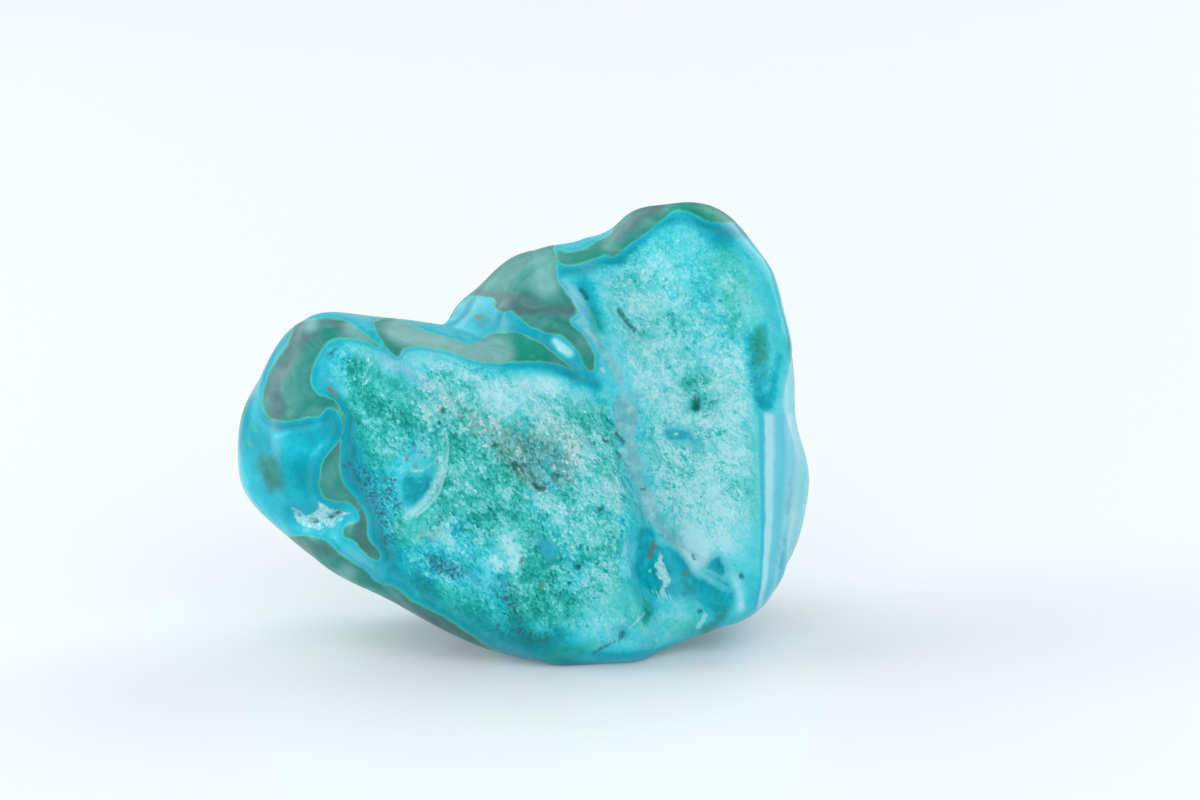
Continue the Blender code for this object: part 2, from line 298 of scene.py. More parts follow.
GREEN_LINES = {
    "upper vein in the dome's blue": (0.30, [(46.6, 29.9), (47.8, 30.4), (48.4, 31.2), (49.1, 31.8)]),
    "lower vein in the dome's blue": (0.26, [(47.0, 30.9), (47.4, 31.6), (48.2, 32.2)]),
    "left spot, upper": (0.46, [(25.3, 42.6), (25.5, 43.0)]),
    "left spot, lower": (0.52, [(24.8, 44.1), (25.1, 44.6)]),
    "ring in the pool": (0.32, [(40.9, 47.1), (40.9, 47.7)]),
    "streak at the lower right": (0.56, [(71.5, 57.0), (71.9, 57.8), (72.4, 58.8)]),
    "fleck in the recess": (0.40, [(69.5, 59.2), (69.8, 59.3)]),
    "lip of the lower left edge": (
        0.22,
        [(37.6, 56.4), (37.5, 57.0), (38.2, 57.8), (38.9, 58.6), (40.0, 58.9), (41.2, 60.0), (43.2, 61.0),
         (45.2, 62.1), (47.4, 63.6), (49.2, 64.9), (51.6, 65.9), (54.5, 66.5), (57.4, 66.7)],
    ),
    "upper chip of the seam": (0.30, [(65.9, 53.5), (66.3, 53.6)]),
}
DARK_LINES = {
    "stroke in the cap": (0.26, [(32.5, 35.7), (33.1, 35.3), (33.8, 34.8)]),
    "pit of the tall lobe": (0.62, [(71.1, 39.9), (71.5, 40.3)]),
    "pit of the tall lobe, left": (0.46, [(69.6, 39.9), (69.8, 40.6)]),
    "pit of the tall lobe, upper": (0.40, [(68.9, 37.9), (69.4, 38.8)]),
    "slit": (0.40, [(61.9, 31.0), (62.4, 31.7), (62.9, 32.4), (63.5, 33.0)]),
    # Painted shade: the dark of the hollow beside the slit.
    "painted shade in the hollow beside the slit": (0.40, [(58.1, 28.9), (58.7, 29.8)]),
    "vug's left hole": (0.34, [(31.0, 52.1), (31.8, 52.2)]),
    "vug's right hole": (0.28, [(32.8, 51.8), (33.4, 51.5), (34.1, 51.2)]),
    "brown pit, upper": (0.34, [(51.5, 46.4), (52.3, 46.9)]),
    "brown pit, lower": (0.42, [(53.4, 48.4), (53.9, 48.8), (54.4, 48.8)]),
    "pit of the cheek": (0.34, [(44.2, 40.9), (44.4, 41.2)]),
    "pit above the stain": (0.34, [(49.4, 44.6), (49.6, 44.5)]),
    "pit beside the seam": (0.34, [(60.6, 43.9), (60.9, 44.0)]),
    "pit beside the seam, low": (0.34, [(60.0, 50.9), (60.3, 50.6)]),
    "pit of the lower face": (0.44, [(57.7, 56.8), (57.9, 56.6)]),
    "hole at the bottom": (0.42, [(62.1, 63.7), (62.3, 63.4)]),
    "crack at the bottom": (0.22, [(62.1, 63.9), (60.6, 64.6), (59.4, 65.3)]),
    "pits of the tall lobe, upper": (0.40, [(68.6, 37.9), (69.1, 38.6)]),
    "pits of the tall lobe, below": (0.36, [(69.5, 39.6), (69.8, 39.9)]),
    "pits of the tall lobe, left": (0.40, [(69.5, 40.4), (69.9, 40.6)]),
    "pits of the tall lobe, right": (0.74, [(71.0, 39.9), (71.4, 40.3)]),
    "pit of the tall lobe, high": (0.36, [(69.3, 30.5)]),
    "pit of the tall lobe, beside it": (0.30, [(70.2, 31.6)]),
    "gap beside the quartz": (0.36, [(61.6, 43.3), (62.4, 44.2)]),
    "gap beside the quartz, low": (0.34, [(61.8, 45.2), (62.2, 45.6)]),
    "mark in the quartz": (0.26, [(64.2, 48.9), (64.4, 48.9)]),
    "pit under the quartz": (0.36, [(69.2, 55.6), (69.4, 55.9)]),
    "olive pit": (0.44, [(73.7, 56.6), (74.0, 57.3), (74.3, 58.0)]),
    "dark under the crust": (0.50, [(69.6, 61.0), (70.0, 61.1)]),
}
BROWN_SPOTS = {
    "red spot in the cap": (0.52, [(33.0, 38.9), (33.6, 39.5)]),
    "dome's left spot": (0.40, [(47.6, 31.6), (48.2, 31.9)]),
    "pool, right": (0.24, [(41.5, 46.5), (41.6, 46.8)]),
    "pool, left": (0.20, [(40.7, 45.6), (40.7, 46.0)]),
    "recess, left": (0.46, [(65.3, 54.2), (65.2, 54.9), (64.9, 55.7)]),
    "recess, middle": (0.34, [(68.3, 57.6), (68.9, 57.1)]),
    "recess, right": (0.34, [(71.7, 57.0), (72.2, 58.2), (72.4, 59.1)]),
    "lower face": (0.20, [(54.1, 58.3), (54.2, 58.8)]),
    "crust's stain": (0.24, [(52.1, 55.9), (52.2, 56.4)]),
}

# Soft patches are (strength, radius, points): strength * exp(-(distance / radius)^2) is added up.
# Tone runs from deep teal blue at 0 through cyan at 0.5 to near white at 1.
TONE = {
    "left pool": (-0.30, 4.2, [(28.0, 45.0), (31.0, 47.0)]),
    "light in the left pool": (0.22, 1.3, [(28.4, 44.6), (29.8, 45.0)]),
    "dark pocket under the cap": (-0.30, 1.0, [(32.9, 41.8), (33.6, 43.0)]),
    "under the left patch": (-0.22, 0.5, [(26.4, 41.6), (28.0, 42.8), (31.0, 42.3)]),
    # Darker along the left limb: painted shade, set against the glare of the low left lamp.
    "left limb": (-0.24, 1.0, [(29.0, 33.0), (26.5, 36.5), (24.4, 40.5), (23.9, 44.0)]),
    "band right of the drop": (
        -0.34,
        0.6,
        [(33.4, 39.8), (34.9, 41.6), (35.1, 44.6), (35.0, 47.2), (36.1, 49.0), (37.5, 51.6),
         (37.8, 53.6), (38.8, 55.6)],
    ),
    "cap's blue edge": (-0.10, 0.6, [(33.8, 34.6), (32.6, 35.4), (31.9, 37.0), (32.0, 38.4), (33.2, 39.0)]),
    "cap's blue, inner": (-0.02, 1.0, [(33.6, 35.6), (33.0, 37.6), (34.4, 38.8)]),
    "cap's pale brow": (0.16, 0.8, [(35.0, 34.9), (37.0, 35.3), (39.0, 36.6)]),
    "lilac brow": (0.10, 0.9, [(39.0, 36.4), (41.0, 37.2), (42.4, 38.4)]),
    "fleck in the left pool": (0.25, 0.3, [(27.6, 43.6), (28.8, 43.2)]),
    "streak in the left pool": (0.25, 0.18, [(31.2, 45.6), (32.2, 44.4)]),
    "round the pool": (0.10, 1.6, [(42.4, 44.6), (40.0, 50.0), (40.4, 51.4)]),
    "crescent": (
        0.34,
        0.42,
        [(44.2, 43.2), (44.2, 45.2), (44.1, 47.0), (43.7, 48.6), (42.8, 49.9), (41.8, 50.9), (40.6, 51.8)],
    ),
    "crescent's inner side": (0.20, 0.45, [(43.4, 48.2), (42.4, 49.9), (41.2, 50.9)]),
    "pool's left shore": (-0.10, 0.5, [(41.0, 43.6), (41.0, 45.4)]),
    # Painted highlight: a white glint in the pocket under the ridge, painted as pale tone.
    "white pocket": (0.75, 0.36, [(55.5, 34.1), (56.0, 34.7)]),
    "white pocket, right": (0.75, 0.46, [(56.3, 34.9), (56.9, 35.3)]),
    "blue left of the pool": (-0.06, 1.6, [(37.0, 46.2), (39.2, 52.4), (39.5, 55.0)]),
    "cheek's grain": (-0.04, 2.4, [(37.6, 38.4), (38.6, 42.0)]),
    "light under the brow": (
        0.20,
        1.1,
        [(41.2, 35.9), (45.0, 36.6), (49.0, 38.4), (54.0, 38.2), (58.0, 39.4)],
    ),
    "blue line under the top band": (
        -0.16,
        0.5,
        [(50.6, 36.7), (52.8, 36.6), (55.2, 36.9), (57.6, 37.8), (59.8, 38.6)],
    ),
    "blue in the seam's head": (-0.14, 0.8, [(58.0, 37.6), (59.6, 38.3)]),
    "light patch, upper": (0.22, 1.6, [(48.9, 39.8), (50.3, 40.8)]),
    "light patch, brow": (0.20, 1.0, [(52.0, 38.4), (55.4, 38.9)]),
    "light patch, right": (0.14, 1.5, [(53.5, 42.0), (57.0, 42.6)]),
    "lilac patch": (-0.06, 1.0, [(53.6, 39.9), (54.8, 40.8)]),
    "stain's shade": (0.04, 2.2, [(51.8, 46.6), (53.6, 47.8)]),
    "stain's pit": (-0.26, 0.5, [(51.8, 46.8), (53.1, 48.0)]),
    "upper middle": (0.22, 2.6, [(45.4, 39.6), (49.0, 40.6)]),
    "lilac patch's ground": (0.16, 1.6, [(53.4, 39.8), (55.0, 41.0)]),
    "light right of the stain": (0.30, 2.2, [(58.6, 46.6), (60.0, 48.6)]),
    "light below the stain": (0.24, 1.5, [(53.8, 50.2), (56.4, 51.6), (57.6, 53.0)]),
    "white crust, low": (0.42, 1.1, [(50.8, 54.4), (51.4, 56.2)]),
    "white crust, lower left": (0.28, 0.8, [(49.2, 56.0), (49.6, 57.0)]),
    "white crust, left": (0.16, 1.2, [(42.4, 53.6), (44.2, 53.2), (46.0, 54.0)]),
    "light left of the stain": (0.16, 1.4, [(47.0, 47.0), (48.0, 49.6)]),
    "cheek's light edge": (0.22, 0.7, [(42.2, 41.0), (43.0, 42.6)]),
    "blue spot of the lower face": (-0.34, 0.8, [(54.2, 54.6), (55.2, 55.6)]),
    "bright blue, lower": (-0.12, 1.5, [(46.4, 57.6), (48.4, 57.8)]),
    "low blue": (0.16, 1.4, [(45.6, 58.4), (48.0, 58.6)]),
    "dark blue, lower left": (-0.14, 1.0, [(43.6, 56.6), (45.4, 57.2)]),
    "lower edge": (
        -0.26,
        1.9,
        [(39.5, 57.4), (43.0, 60.0), (47.0, 62.4), (50.5, 64.2), (54.0, 65.6), (57.0, 66.2)],
    ),
    "lower edge, deepest": (
        -0.22,
        0.9,
        [(50.4, 57.8), (50.8, 60.2), (51.8, 62.2), (53.2, 64.2), (55.8, 63.6)],
    ),
    "green bottom": (-0.06, 1.6, [(54.0, 61.0), (57.0, 60.0)]),
    "smooth cyan bottom": (0.14, 2.4, [(59.0, 62.6), (63.0, 63.6), (67.0, 62.6)]),
    "light above the bottom": (0.14, 1.8, [(60.4, 57.0), (61.0, 60.0)]),
    "bottom rim": (-0.16, 0.5, [(60.0, 65.6), (64.0, 65.6), (68.0, 64.6)]),
    "light left of the recess": (0.16, 0.7, [(62.6, 55.0), (62.4, 57.0)]),
    "white right of the recess": (0.42, 1.3, [(69.0, 54.4), (69.6, 56.0)]),
    "wedge right of the recess": (0.40, 0.5, [(73.5, 57.8), (73.9, 59.2), (74.1, 60.8)]),
    "under the recess": (0.06, 1.2, [(66.8, 61.2), (68.6, 62.0)]),
    "smear at the bottom": (-0.40, 0.45, [(64.9, 60.9), (64.5, 62.0)]),
    "tall lobe, overall": (0.24, 8.0, [(66.0, 30.0), (70.0, 38.0), (71.0, 48.0)]),
    "tall lobe, lightest": (0.02, 2.4, [(64.0, 28.6), (63.4, 31.2)]),
    "tall lobe, light, low": (0.34, 2.6, [(71.0, 50.0), (72.0, 54.0)]),
    "tall lobe, light beside the vein": (0.14, 1.2, [(65.8, 45.0), (67.4, 50.0), (69.4, 54.4)]),
    "blue line under the rim": (
        -0.32,
        0.5,
        [(56.4, 27.2), (58.4, 26.9), (60.2, 26.3), (61.8, 26.2), (63.2, 24.9), (64.6, 23.8), (66.2, 22.5),
         (67.8, 21.7), (69.2, 22.0), (70.8, 22.8), (72.6, 23.1), (74.4, 23.2)],
    ),
    "blue corner under the rim": (-0.16, 0.8, [(61.5, 25.9), (62.2, 25.6)]),
    "blue patch, high": (-0.22, 1.2, [(71.4, 23.8), (72.6, 24.2)]),
    "blue patch, middle": (-0.16, 1.1, [(69.4, 26.6), (70.6, 28.2), (70.8, 29.6)]),
    "blue patch, dot": (-0.30, 0.6, [(69.1, 30.4)]),
    "blue patch, left": (-0.20, 0.7, [(67.2, 31.6), (67.4, 32.6)]),
    "blue patch, right": (-0.14, 1.0, [(73.4, 31.8), (72.4, 34.6)]),
    "blue corner, right": (-0.46, 0.7, [(75.2, 34.0), (75.4, 36.6), (75.6, 38.6), (76.2, 40.6)]),
    "grey green beside it": (-0.30, 0.5, [(76.1, 33.0), (76.4, 36.0), (76.5, 38.0)]),
    "flank's upper stripe": (-0.26, 0.35, [(77.9, 35.6), (77.3, 38.6), (77.0, 40.6)]),
    "flank's upper light": (0.16, 0.6, [(78.6, 38.6), (78.4, 41.0)]),
    "pits of the tall lobe, upper": (-0.42, 0.7, [(68.8, 38.2)]),
    "pits of the tall lobe, left": (-0.42, 0.5, [(69.7, 40.3)]),
    "pits of the tall lobe, right": (-0.60, 0.6, [(71.2, 40.1)]),
    "lens above the spot": (0.16, 0.8, [(66.6, 41.2), (68.6, 41.8)]),
    "pale right part": (0.20, 1.6, [(72.6, 36.0), (73.4, 40.0), (73.4, 46.0)]),
    "tall lobe, light middle": (0.22, 2.2, [(64.4, 36.8), (66.4, 39.6)]),
    "dome's blue": (-0.26, 1.3, [(48.4, 32.2), (50.6, 32.2), (53.0, 33.6), (55.0, 34.6), (57.4, 36.6)]),
    "dome's blue, left end": (-0.20, 0.8, [(45.8, 31.6), (46.8, 30.4)]),
    "shadow beside the dome": (-0.34, 0.8, [(58.4, 28.8), (59.0, 30.6), (60.0, 32.6)]),
    "light beside the dome": (0.10, 0.8, [(56.4, 28.4), (57.8, 30.0)]),
}
# Green turns the chrysocolla green where it is near 1.
GREEN = {
    "cap": (0.8, 1.6, [(36.6, 36.6), (36.2, 39.6)]),
    "cheek, upper": (0.9, 1.5, [(37.0, 40.2), (37.2, 41.6)]),
    "cheek, lower": (1.0, 1.5, [(37.6, 43.4), (38.2, 44.8)]),
    "cheek, right": (0.4, 2.0, [(39.6, 39.0), (40.6, 41.6)]),
    "middle, upper": (0.55, 3.0, [(44.4, 39.6), (48.0, 42.0)]),
    "middle, left": (0.9, 1.7, [(45.0, 44.6), (45.6, 48.0)]),
    "middle, low left": (0.9, 1.4, [(44.6, 50.4), (41.6, 52.8), (40.6, 52.9)]),
    "middle": (0.75, 2.2, [(49.0, 46.0), (49.4, 51.6)]),
    "middle, right": (0.6, 1.8, [(52.6, 52.4), (55.0, 57.8)]),
    "under the stain": (0.5, 1.6, [(51.0, 48.6)]),
    "low": (0.9, 1.5, [(52.4, 57.8), (52.8, 60.6), (56.6, 61.2)]),
    "low, left": (0.3, 1.2, [(48.4, 60.4), (46.0, 59.4)]),
    "lower edge": (0.35, 1.6, [(43.0, 59.4), (47.0, 61.8), (51.0, 63.6), (56.0, 65.0)]),
    "right, upper": (0.5, 1.6, [(57.6, 40.6), (59.6, 41.8)]),
    "middle, upper right": (0.45, 2.4, [(54.4, 41.4), (57.4, 44.0)]),
    "middle, low right": (0.45, 2.2, [(57.0, 49.6), (58.6, 53.0)]),
    "tall lobe": (0.26, 6.0, [(66.0, 29.0), (69.0, 38.0), (70.0, 50.0)]),
    "tall lobe, flecked": (0.16, 3.6, [(68.4, 44.0), (71.0, 49.0)]),
    "left of the seam": (0.5, 1.4, [(60.8, 44.8), (61.6, 49.0)]),
    "left of the seam, low": (0.55, 1.5, [(60.4, 54.0), (60.6, 57.4)]),
    "bottom": (0.5, 2.0, [(60.6, 59.8), (64.8, 60.8)]),
    "bottom smear": (1.0, 0.6, [(64.9, 60.9), (64.5, 62.0)]),
    "bottom right": (0.7, 1.2, [(68.0, 63.0), (69.4, 62.4)]),
    "bottom rim": (0.5, 0.7, [(55.0, 65.8), (60.0, 64.6)]),
    "tall lobe, high right": (0.75, 1.7, [(72.6, 26.2), (73.8, 28.6), (74.4, 31.0)]),
    "tall lobe, right": (0.6, 1.3, [(74.4, 44.0), (74.6, 48.0), (74.8, 51.0)]),
    "tall lobe, right limb": (0.7, 0.8, [(76.0, 33.4), (76.2, 36.0)]),
    "tall lobe, pits": (1.0, 1.4, [(69.2, 38.8), (71.2, 39.8), (72.6, 40.4)]),
    "tall lobe, under the slit": (0.35, 2.0, [(64.2, 33.6), (66.4, 34.0)]),
    "tall lobe, lower": (0.4, 1.2, [(71.8, 43.2), (72.4, 45.6)]),
    "blue line at the bottom": (-0.9, 0.6, [(65.6, 60.4), (65.5, 62.8)]),
    "seam": (0.5, 0.9, [(66.4, 46.0), (66.0, 43.8)]),
    "beside the dome": (0.4, 0.8, [(59.4, 31.4), (60.2, 33.2)]),
}
# Stain turns it grey brown, and lilac in the next table turns it a cooler, greyer blue.
STAIN = {
    "around the pit": (0.8, 1.9, [(51.0, 45.6), (54.4, 46.4)]),
    "above the pit": (0.85, 2.2, [(50.4, 43.6), (55.0, 43.4), (57.6, 44.4)]),
    "right of the pit": (0.7, 1.3, [(56.4, 48.0), (57.0, 46.4)]),
    "pit": (1.0, 1.1, [(52.2, 47.4), (53.9, 48.6)]),
    "upper left": (0.8, 1.9, [(45.4, 40.6), (47.6, 42.4)]),
    "cheek": (0.3, 1.2, [(42.4, 38.4), (42.4, 42.6)]),
    "white crust, left": (0.8, 0.9, [(42.4, 53.6), (44.0, 53.4)]),
    "white crust, low": (0.45, 0.7, [(49.4, 55.8), (51.4, 56.4)]),
    "crust's foot": (0.5, 1.0, [(46.8, 55.6)]),
    "tall lobe, beige": (0.7, 0.9, [(72.8, 28.8), (74.6, 30.2)]),
    "tall lobe, right limb": (0.5, 0.8, [(77.0, 32.2)]),
    "column left of the pool": (0.5, 0.8, [(38.6, 47.6), (37.8, 50.0)]),
}
LILAC = {
    "brow": (0.9, 0.9, [(38.6, 35.9), (41.0, 37.3), (42.8, 38.6)]),
    "cap": (0.6, 0.8, [(32.8, 38.0), (33.8, 38.2)]),
    "patch under the top band": (0.7, 0.8, [(53.4, 39.8), (54.9, 40.8)]),
    "pool": (0.6, 0.9, [(41.6, 45.6), (42.2, 44.6)]),
    "beside the dome": (0.9, 0.7, [(56.0, 28.2), (57.6, 29.6), (58.4, 31.6)]),
    "left limb": (0.4, 0.8, [(24.4, 40.0), (23.8, 44.0)]),
    "lower left edge": (0.9, 1.0, [(34.6, 55.4), (36.2, 56.0), (37.4, 57.5)]),
    "tall lobe, blue patch": (0.4, 1.2, [(70.6, 45.6), (70.8, 28.6)]),
    "middle, blue spot": (0.5, 0.8, [(54.6, 55.0), (53.4, 53.9)]),
    "lower left": (0.5, 1.2, [(43.8, 56.8), (50.6, 59.0)]),
}
# Grain is how rough and unpolished the surface is, from 0 to 1.
GRAIN = {
    "cheek": (1.05, 2.4, [(35.2, 36.8), (37.2, 40.0), (38.2, 43.6)]),
    "lower left": (0.25, 2.6, [(42.0, 57.0), (48.0, 60.6), (54.0, 63.0)]),
    "left of the pool": (0.7, 1.4, [(37.4, 47.4), (38.8, 50.6), (39.6, 53.6)]),
    "middle": (1.6, 5.2, [(45.6, 42.0), (47.6, 50.0), (54.0, 46.0), (55.0, 54.0)]),
    "brow": (0.5, 1.4, [(44.0, 37.8), (50.0, 38.8), (56.0, 39.4)]),
    "right of the middle": (1.0, 2.6, [(59.6, 43.0), (60.2, 50.0), (59.8, 57.0)]),
    "low": (0.6, 2.4, [(43.0, 56.4), (50.0, 59.6), (57.0, 60.0)]),
    "tall lobe": (0.75, 6.0, [(66.0, 28.0), (70.0, 38.0), (69.4, 48.0)]),
    "tall lobe, low": (0.4, 2.6, [(68.6, 45.6), (71.6, 50.0)]),
    "tall lobe, right": (0.3, 2.0, [(73.0, 28.0), (73.4, 36.0), (73.0, 46.0), (72.0, 54.0)]),
    "tall lobe, left": (0.3, 2.0, [(62.0, 28.0), (64.0, 36.0), (66.0, 44.0), (68.0, 52.0)]),
    "bottom": (0.4, 1.8, [(60.0, 62.6), (66.8, 61.6)]),
    "pool inside the crescent": (-0.9, 1.2, [(42.2, 46.6), (41.6, 48.8)]),
    "smooth blue, lower": (-0.3, 1.2, [(46.4, 58.0), (48.4, 57.8)]),
}
# Specks are dark purple grains, where this is over 0.
SPECKS = {
    "beside the drop": (1.0, 0.7, [(34.8, 46.4), (35.6, 46.6)]),
    "beside the drop, right": (0.7, 0.7, [(36.4, 46.4)]),
    "left of the pool, low": (1.0, 1.2, [(36.6, 48.0), (37.4, 49.6), (38.4, 48.8)]),
    "column": (1.0, 0.5, [(39.2, 48.0), (39.3, 49.6), (39.8, 50.8)]),
    "foot": (0.9, 0.9, [(38.2, 50.8), (38.4, 52.4), (38.6, 53.9)]),
    "pool": (0.6, 0.8, [(41.6, 44.4), (42.2, 45.2)]),
    "lower left": (1.2, 1.2, [(43.6, 56.2), (45.4, 57.0)]),
    "crust": (0.7, 0.8, [(43.0, 52.6), (44.2, 52.0)]),
    "low": (1.0, 0.9, [(50.8, 59.0), (51.6, 61.6)]),
    "bottom": (1.0, 0.9, [(54.6, 63.9), (50.0, 62.9)]),
    "stain": (0.5, 1.6, [(52.4, 46.8)]),
}
# Malachite's own colours: emerald where positive and grey brown where negative.
EMERALD = {
    "crease of the top band": (0.8, 0.7, [(49.4, 33.6), (51.0, 33.9), (52.4, 34.8)]),
    "emerald of the top band": (1.8, 1.1, [(52.2, 35.2), (54.0, 35.5)]),
    "olive point": (-0.4, 0.9, [(55.4, 35.9), (56.8, 36.8)]),
    # The top band's grey is partly painted sheen: grey brown malachite, with the pale painted sheen of the
    # top band laid over it.
    "grey of the top band": (-0.9, 1.9, [(42.0, 33.4), (45.0, 34.6), (48.4, 35.2)]),
    "left patch, brown streak": (-1.2, 0.9, [(30.4, 32.8), (28.8, 35.6), (27.4, 38.6), (27.6, 41.2)]),
    "left patch, upper": (-0.8, 1.2, [(31.0, 32.8), (34.0, 32.6), (36.4, 33.8)]),
    "left patch, green spot": (1.5, 0.6, [(32.7, 33.1), (33.2, 33.6)]),
    "left patch, green": (0.25, 1.6, [(30.2, 38.8), (31.2, 40.2)]),
    "drop, brown head": (-0.7, 0.5, [(33.4, 45.6), (33.8, 44.6)]),
    "drop": (0.5, 1.0, [(33.0, 47.6)]),
    "tail": (-0.8, 0.8, [(35.6, 50.2), (36.2, 52.0), (35.8, 53.6), (37.0, 55.0)]),
    "lower left edge, top": (-0.8, 0.9, [(30.0, 54.4), (32.6, 55.0), (35.0, 56.6)]),
    "lower left edge": (0.5, 1.2, [(33.6, 56.6), (35.6, 58.0)]),
    "underside": (-1.6, 0.9, [(40.5, 60.4), (44.0, 62.2), (48.0, 64.6), (52.0, 66.6)]),
    "speck": (-0.3, 0.9, [(26.8, 47.4)]),
    "dome's dark spot": (-1.8, 0.8, [(49.9, 30.4), (51.2, 30.7)]),
    "dome's brown band": (-0.7, 0.6, [(48.0, 29.3), (51.0, 29.4), (53.6, 29.8)]),
    "dome, under the lens": (-1.0, 0.6, [(52.2, 31.0), (54.4, 30.9), (57.0, 31.0)]),
    "dome's green": (0.3, 1.6, [(51.0, 27.8), (53.0, 26.6)]),
    "ridge, olive": (-0.3, 0.7, [(53.0, 32.0), (56.0, 33.2), (58.2, 34.6)]),
    "ridge's green end": (0.6, 0.6, [(58.7, 36.2)]),
    "rim, brown": (-0.9, 0.8, [(61.6, 23.4), (63.6, 22.0), (66.4, 20.4)]),
    "rim, green": (1.2, 0.7, [(57.4, 25.9), (60.0, 25.4)]),
    "rim, green, right": (1.5, 0.8, [(67.4, 21.0), (70.0, 21.0), (73.0, 22.4)]),
    "lower right": (0.7, 0.8, [(71.0, 62.6)]),
}
# Pale malachite and painted sheen: near 1 the malachite turns pale grey blue. "top band", "dome's light",
# "left patch, top" and "left patch, right" are painted sheen on the polished tops, and "underside" and "lower
# left edge" are a painted reflection of the white floor under the left lobe.
PALE_MALACHITE_AND_SHEEN = {
    "dome's light": (0.9, 1.6, [(54.6, 26.4), (54.6, 28.6)]),
    "top band": (1.4, 1.4, [(40.0, 33.0), (43.0, 34.0), (46.0, 35.0), (50.0, 35.3)]),
    "underside": (1.5, 0.6, [(38.0, 60.4), (43.0, 63.2), (48.0, 65.8)]),
    "left patch, top": (0.9, 0.9, [(31.2, 32.6)]),
    "left patch, right": (1.0, 1.1, [(35.2, 32.8), (36.6, 34.0)]),
    "lower left edge": (0.8, 1.2, [(34.6, 57.4)]),
    "ridge": (0.3, 0.5, [(59.2, 35.4)]),
}

# Malachite with soft edges, where it lies under a skin of chrysocolla.
MALACHITE_HAZE = {
    "speck of the left end": (1.15, 1.2, [(26.7, 46.5), (27.5, 48.2)]),
    "left limb": (0.8, 0.6, [(24.6, 39.6), (23.9, 41.6)]),
    "dots of the left end": (0.9, 0.4, [(25.4, 42.8), (25.3, 43.0)]),
    "dots of the left end, lower": (0.9, 0.4, [(24.9, 44.2), (25.0, 44.5)]),
    "lower right": (0.85, 0.8, [(70.6, 63.2), (71.4, 62.4), (72.5, 61.2)]),
    "right limb": (0.6, 0.6, [(78.9, 34.0), (78.9, 36.0)]),
    "right flank": (0.5, 0.9, [(76.1, 33.0), (76.4, 37.4)]),
    "flank, green": (0.4, 0.8, [(79.0, 48.4), (78.7, 51.2)]),
    "flank, green, low": (0.4, 0.8, [(78.3, 54.0), (78.0, 56.6)]),
}

# The tables by the name of the field that each draws: with sharp edges, as lines, and softly.
OUTLINED = {"glassy": GLASSY, "crust": CRUST, "quartz": QUARTZ}
STROKED = {
    "pale_line": PALE_LINES,
    "green_line": GREEN_LINES,
    "dark_line": DARK_LINES,
    "brown_spot": BROWN_SPOTS,
}
PAINTED = {
    "haze": MALACHITE_HAZE,
    "tone": TONE,
    "green": GREEN,
    "stain": STAIN,
    "lilac": LILAC,
    "grain": GRAIN,
    "specks": SPECKS,
    "emerald": EMERALD,
    "pale_malachite_and_sheen": PALE_MALACHITE_AND_SHEEN,
}
FIELDS = ["malachite", "flank", "flank_share", *OUTLINED, *STROKED, *PAINTED]
MIDDLE_TONE = 0.46  # the tone where the drawing adds nothing

# Stripes down the right flank. At a height y on the sheet they start at x, and are so many times as
# wide as in FLANK_STRIPES, which gives the mm from the start and the name of a tint.
FLANK = [
    (41.3, 76.05, 1.0), (46.0, 76.1, 1.0), (50.0, 76.2, 0.85), (54.0, 76.2, 0.7), (58.0, 76.0, 0.55),
    (62.0, 75.2, 0.5),
]
FLANK_TINTS = {"deep": "#30B3C9", "milky, painted highlight": "#9DD5E0", "mid": "#60C0D3", "soft": "#88CEDF"}
# The milky stripe is partly a painted highlight, where the front face turns into the flank.
FLANK_STRIPES = [
    (0.0, "deep"), (0.25, "deep"), (0.55, "milky, painted highlight"), (1.05, "milky, painted highlight"), (1.5, "mid"),
    (2.2, "mid"), (2.9, "soft"), (3.4, "mid"), (4.6, "deep"),
]
FLANK_REACH = 5.0  # how far the stripes run, in mm
FLANK_TOP = (41.1, 41.6)  # between these heights on the sheet they come in, and below they fade
FLANK_FOOT = (62.0, 60.0)
FAR = 9.0  # distances are not counted past this, in mm

# Small pits in the grain are (radius, depth, points), each point a pit.
PITS = {
    "marked": (
        0.30,
        0.45,
        [(44.3, 41.1), (49.5, 44.5), (60.1, 50.8), (57.8, 56.7), (62.2, 63.5), (69.3, 30.5), (70.2, 31.6),
         (69.3, 55.7), (60.7, 43.9), (55.6, 47.8), (51.5, 46.4), (53.9, 48.7), (46.2, 48.0), (69.7, 39.9)],
    ),
    "of the tall lobe": (0.48, 0.7, [(71.2, 39.9), (69.1, 38.4), (69.6, 40.5)]),
    "in the vug": (0.30, 0.6, [(31.4, 52.1), (33.0, 51.8), (33.7, 51.4)]),
}
PIT_COUNT = 260  # smaller ones, scattered over the grain

# The back and both ends: malachite bands in a field that runs across the stone, as (place, half width).
BACK_BANDS = {"left": (-16.0, 1.9), "middle": (0.0, 2.4), "right": (14.0, 1.4)}
BACK_DIRECTION = np.array([0.84, -0.12, 0.53])


# ---------------------------------------------------------------------------------------------------
# Form


def normals_of(facets):
    """Unit vectors of the facets, from their azimuths and elevations."""
    azimuth, elevation = np.radians([facet[:2] for facet in facets.values()]).T
    return np.stack(
        [
            np.sin(azimuth) * np.cos(elevation),
            -np.cos(azimuth) * np.cos(elevation),
            np.sin(elevation),
        ],
        axis=1,
    )


def worn_block(points, middle, facets):
    """Distance outside a block of facets: the soft maximum of the distances in front of each of them."""
    distances = np.array([facet[2] for facet in facets.values()])
    outside = (points - middle) @ normals_of(facets).T - distances
    highest = outside.max(axis=1)
    return highest + WEAR * np.log(np.exp((outside - highest[:, None]) / WEAR).sum(axis=1))


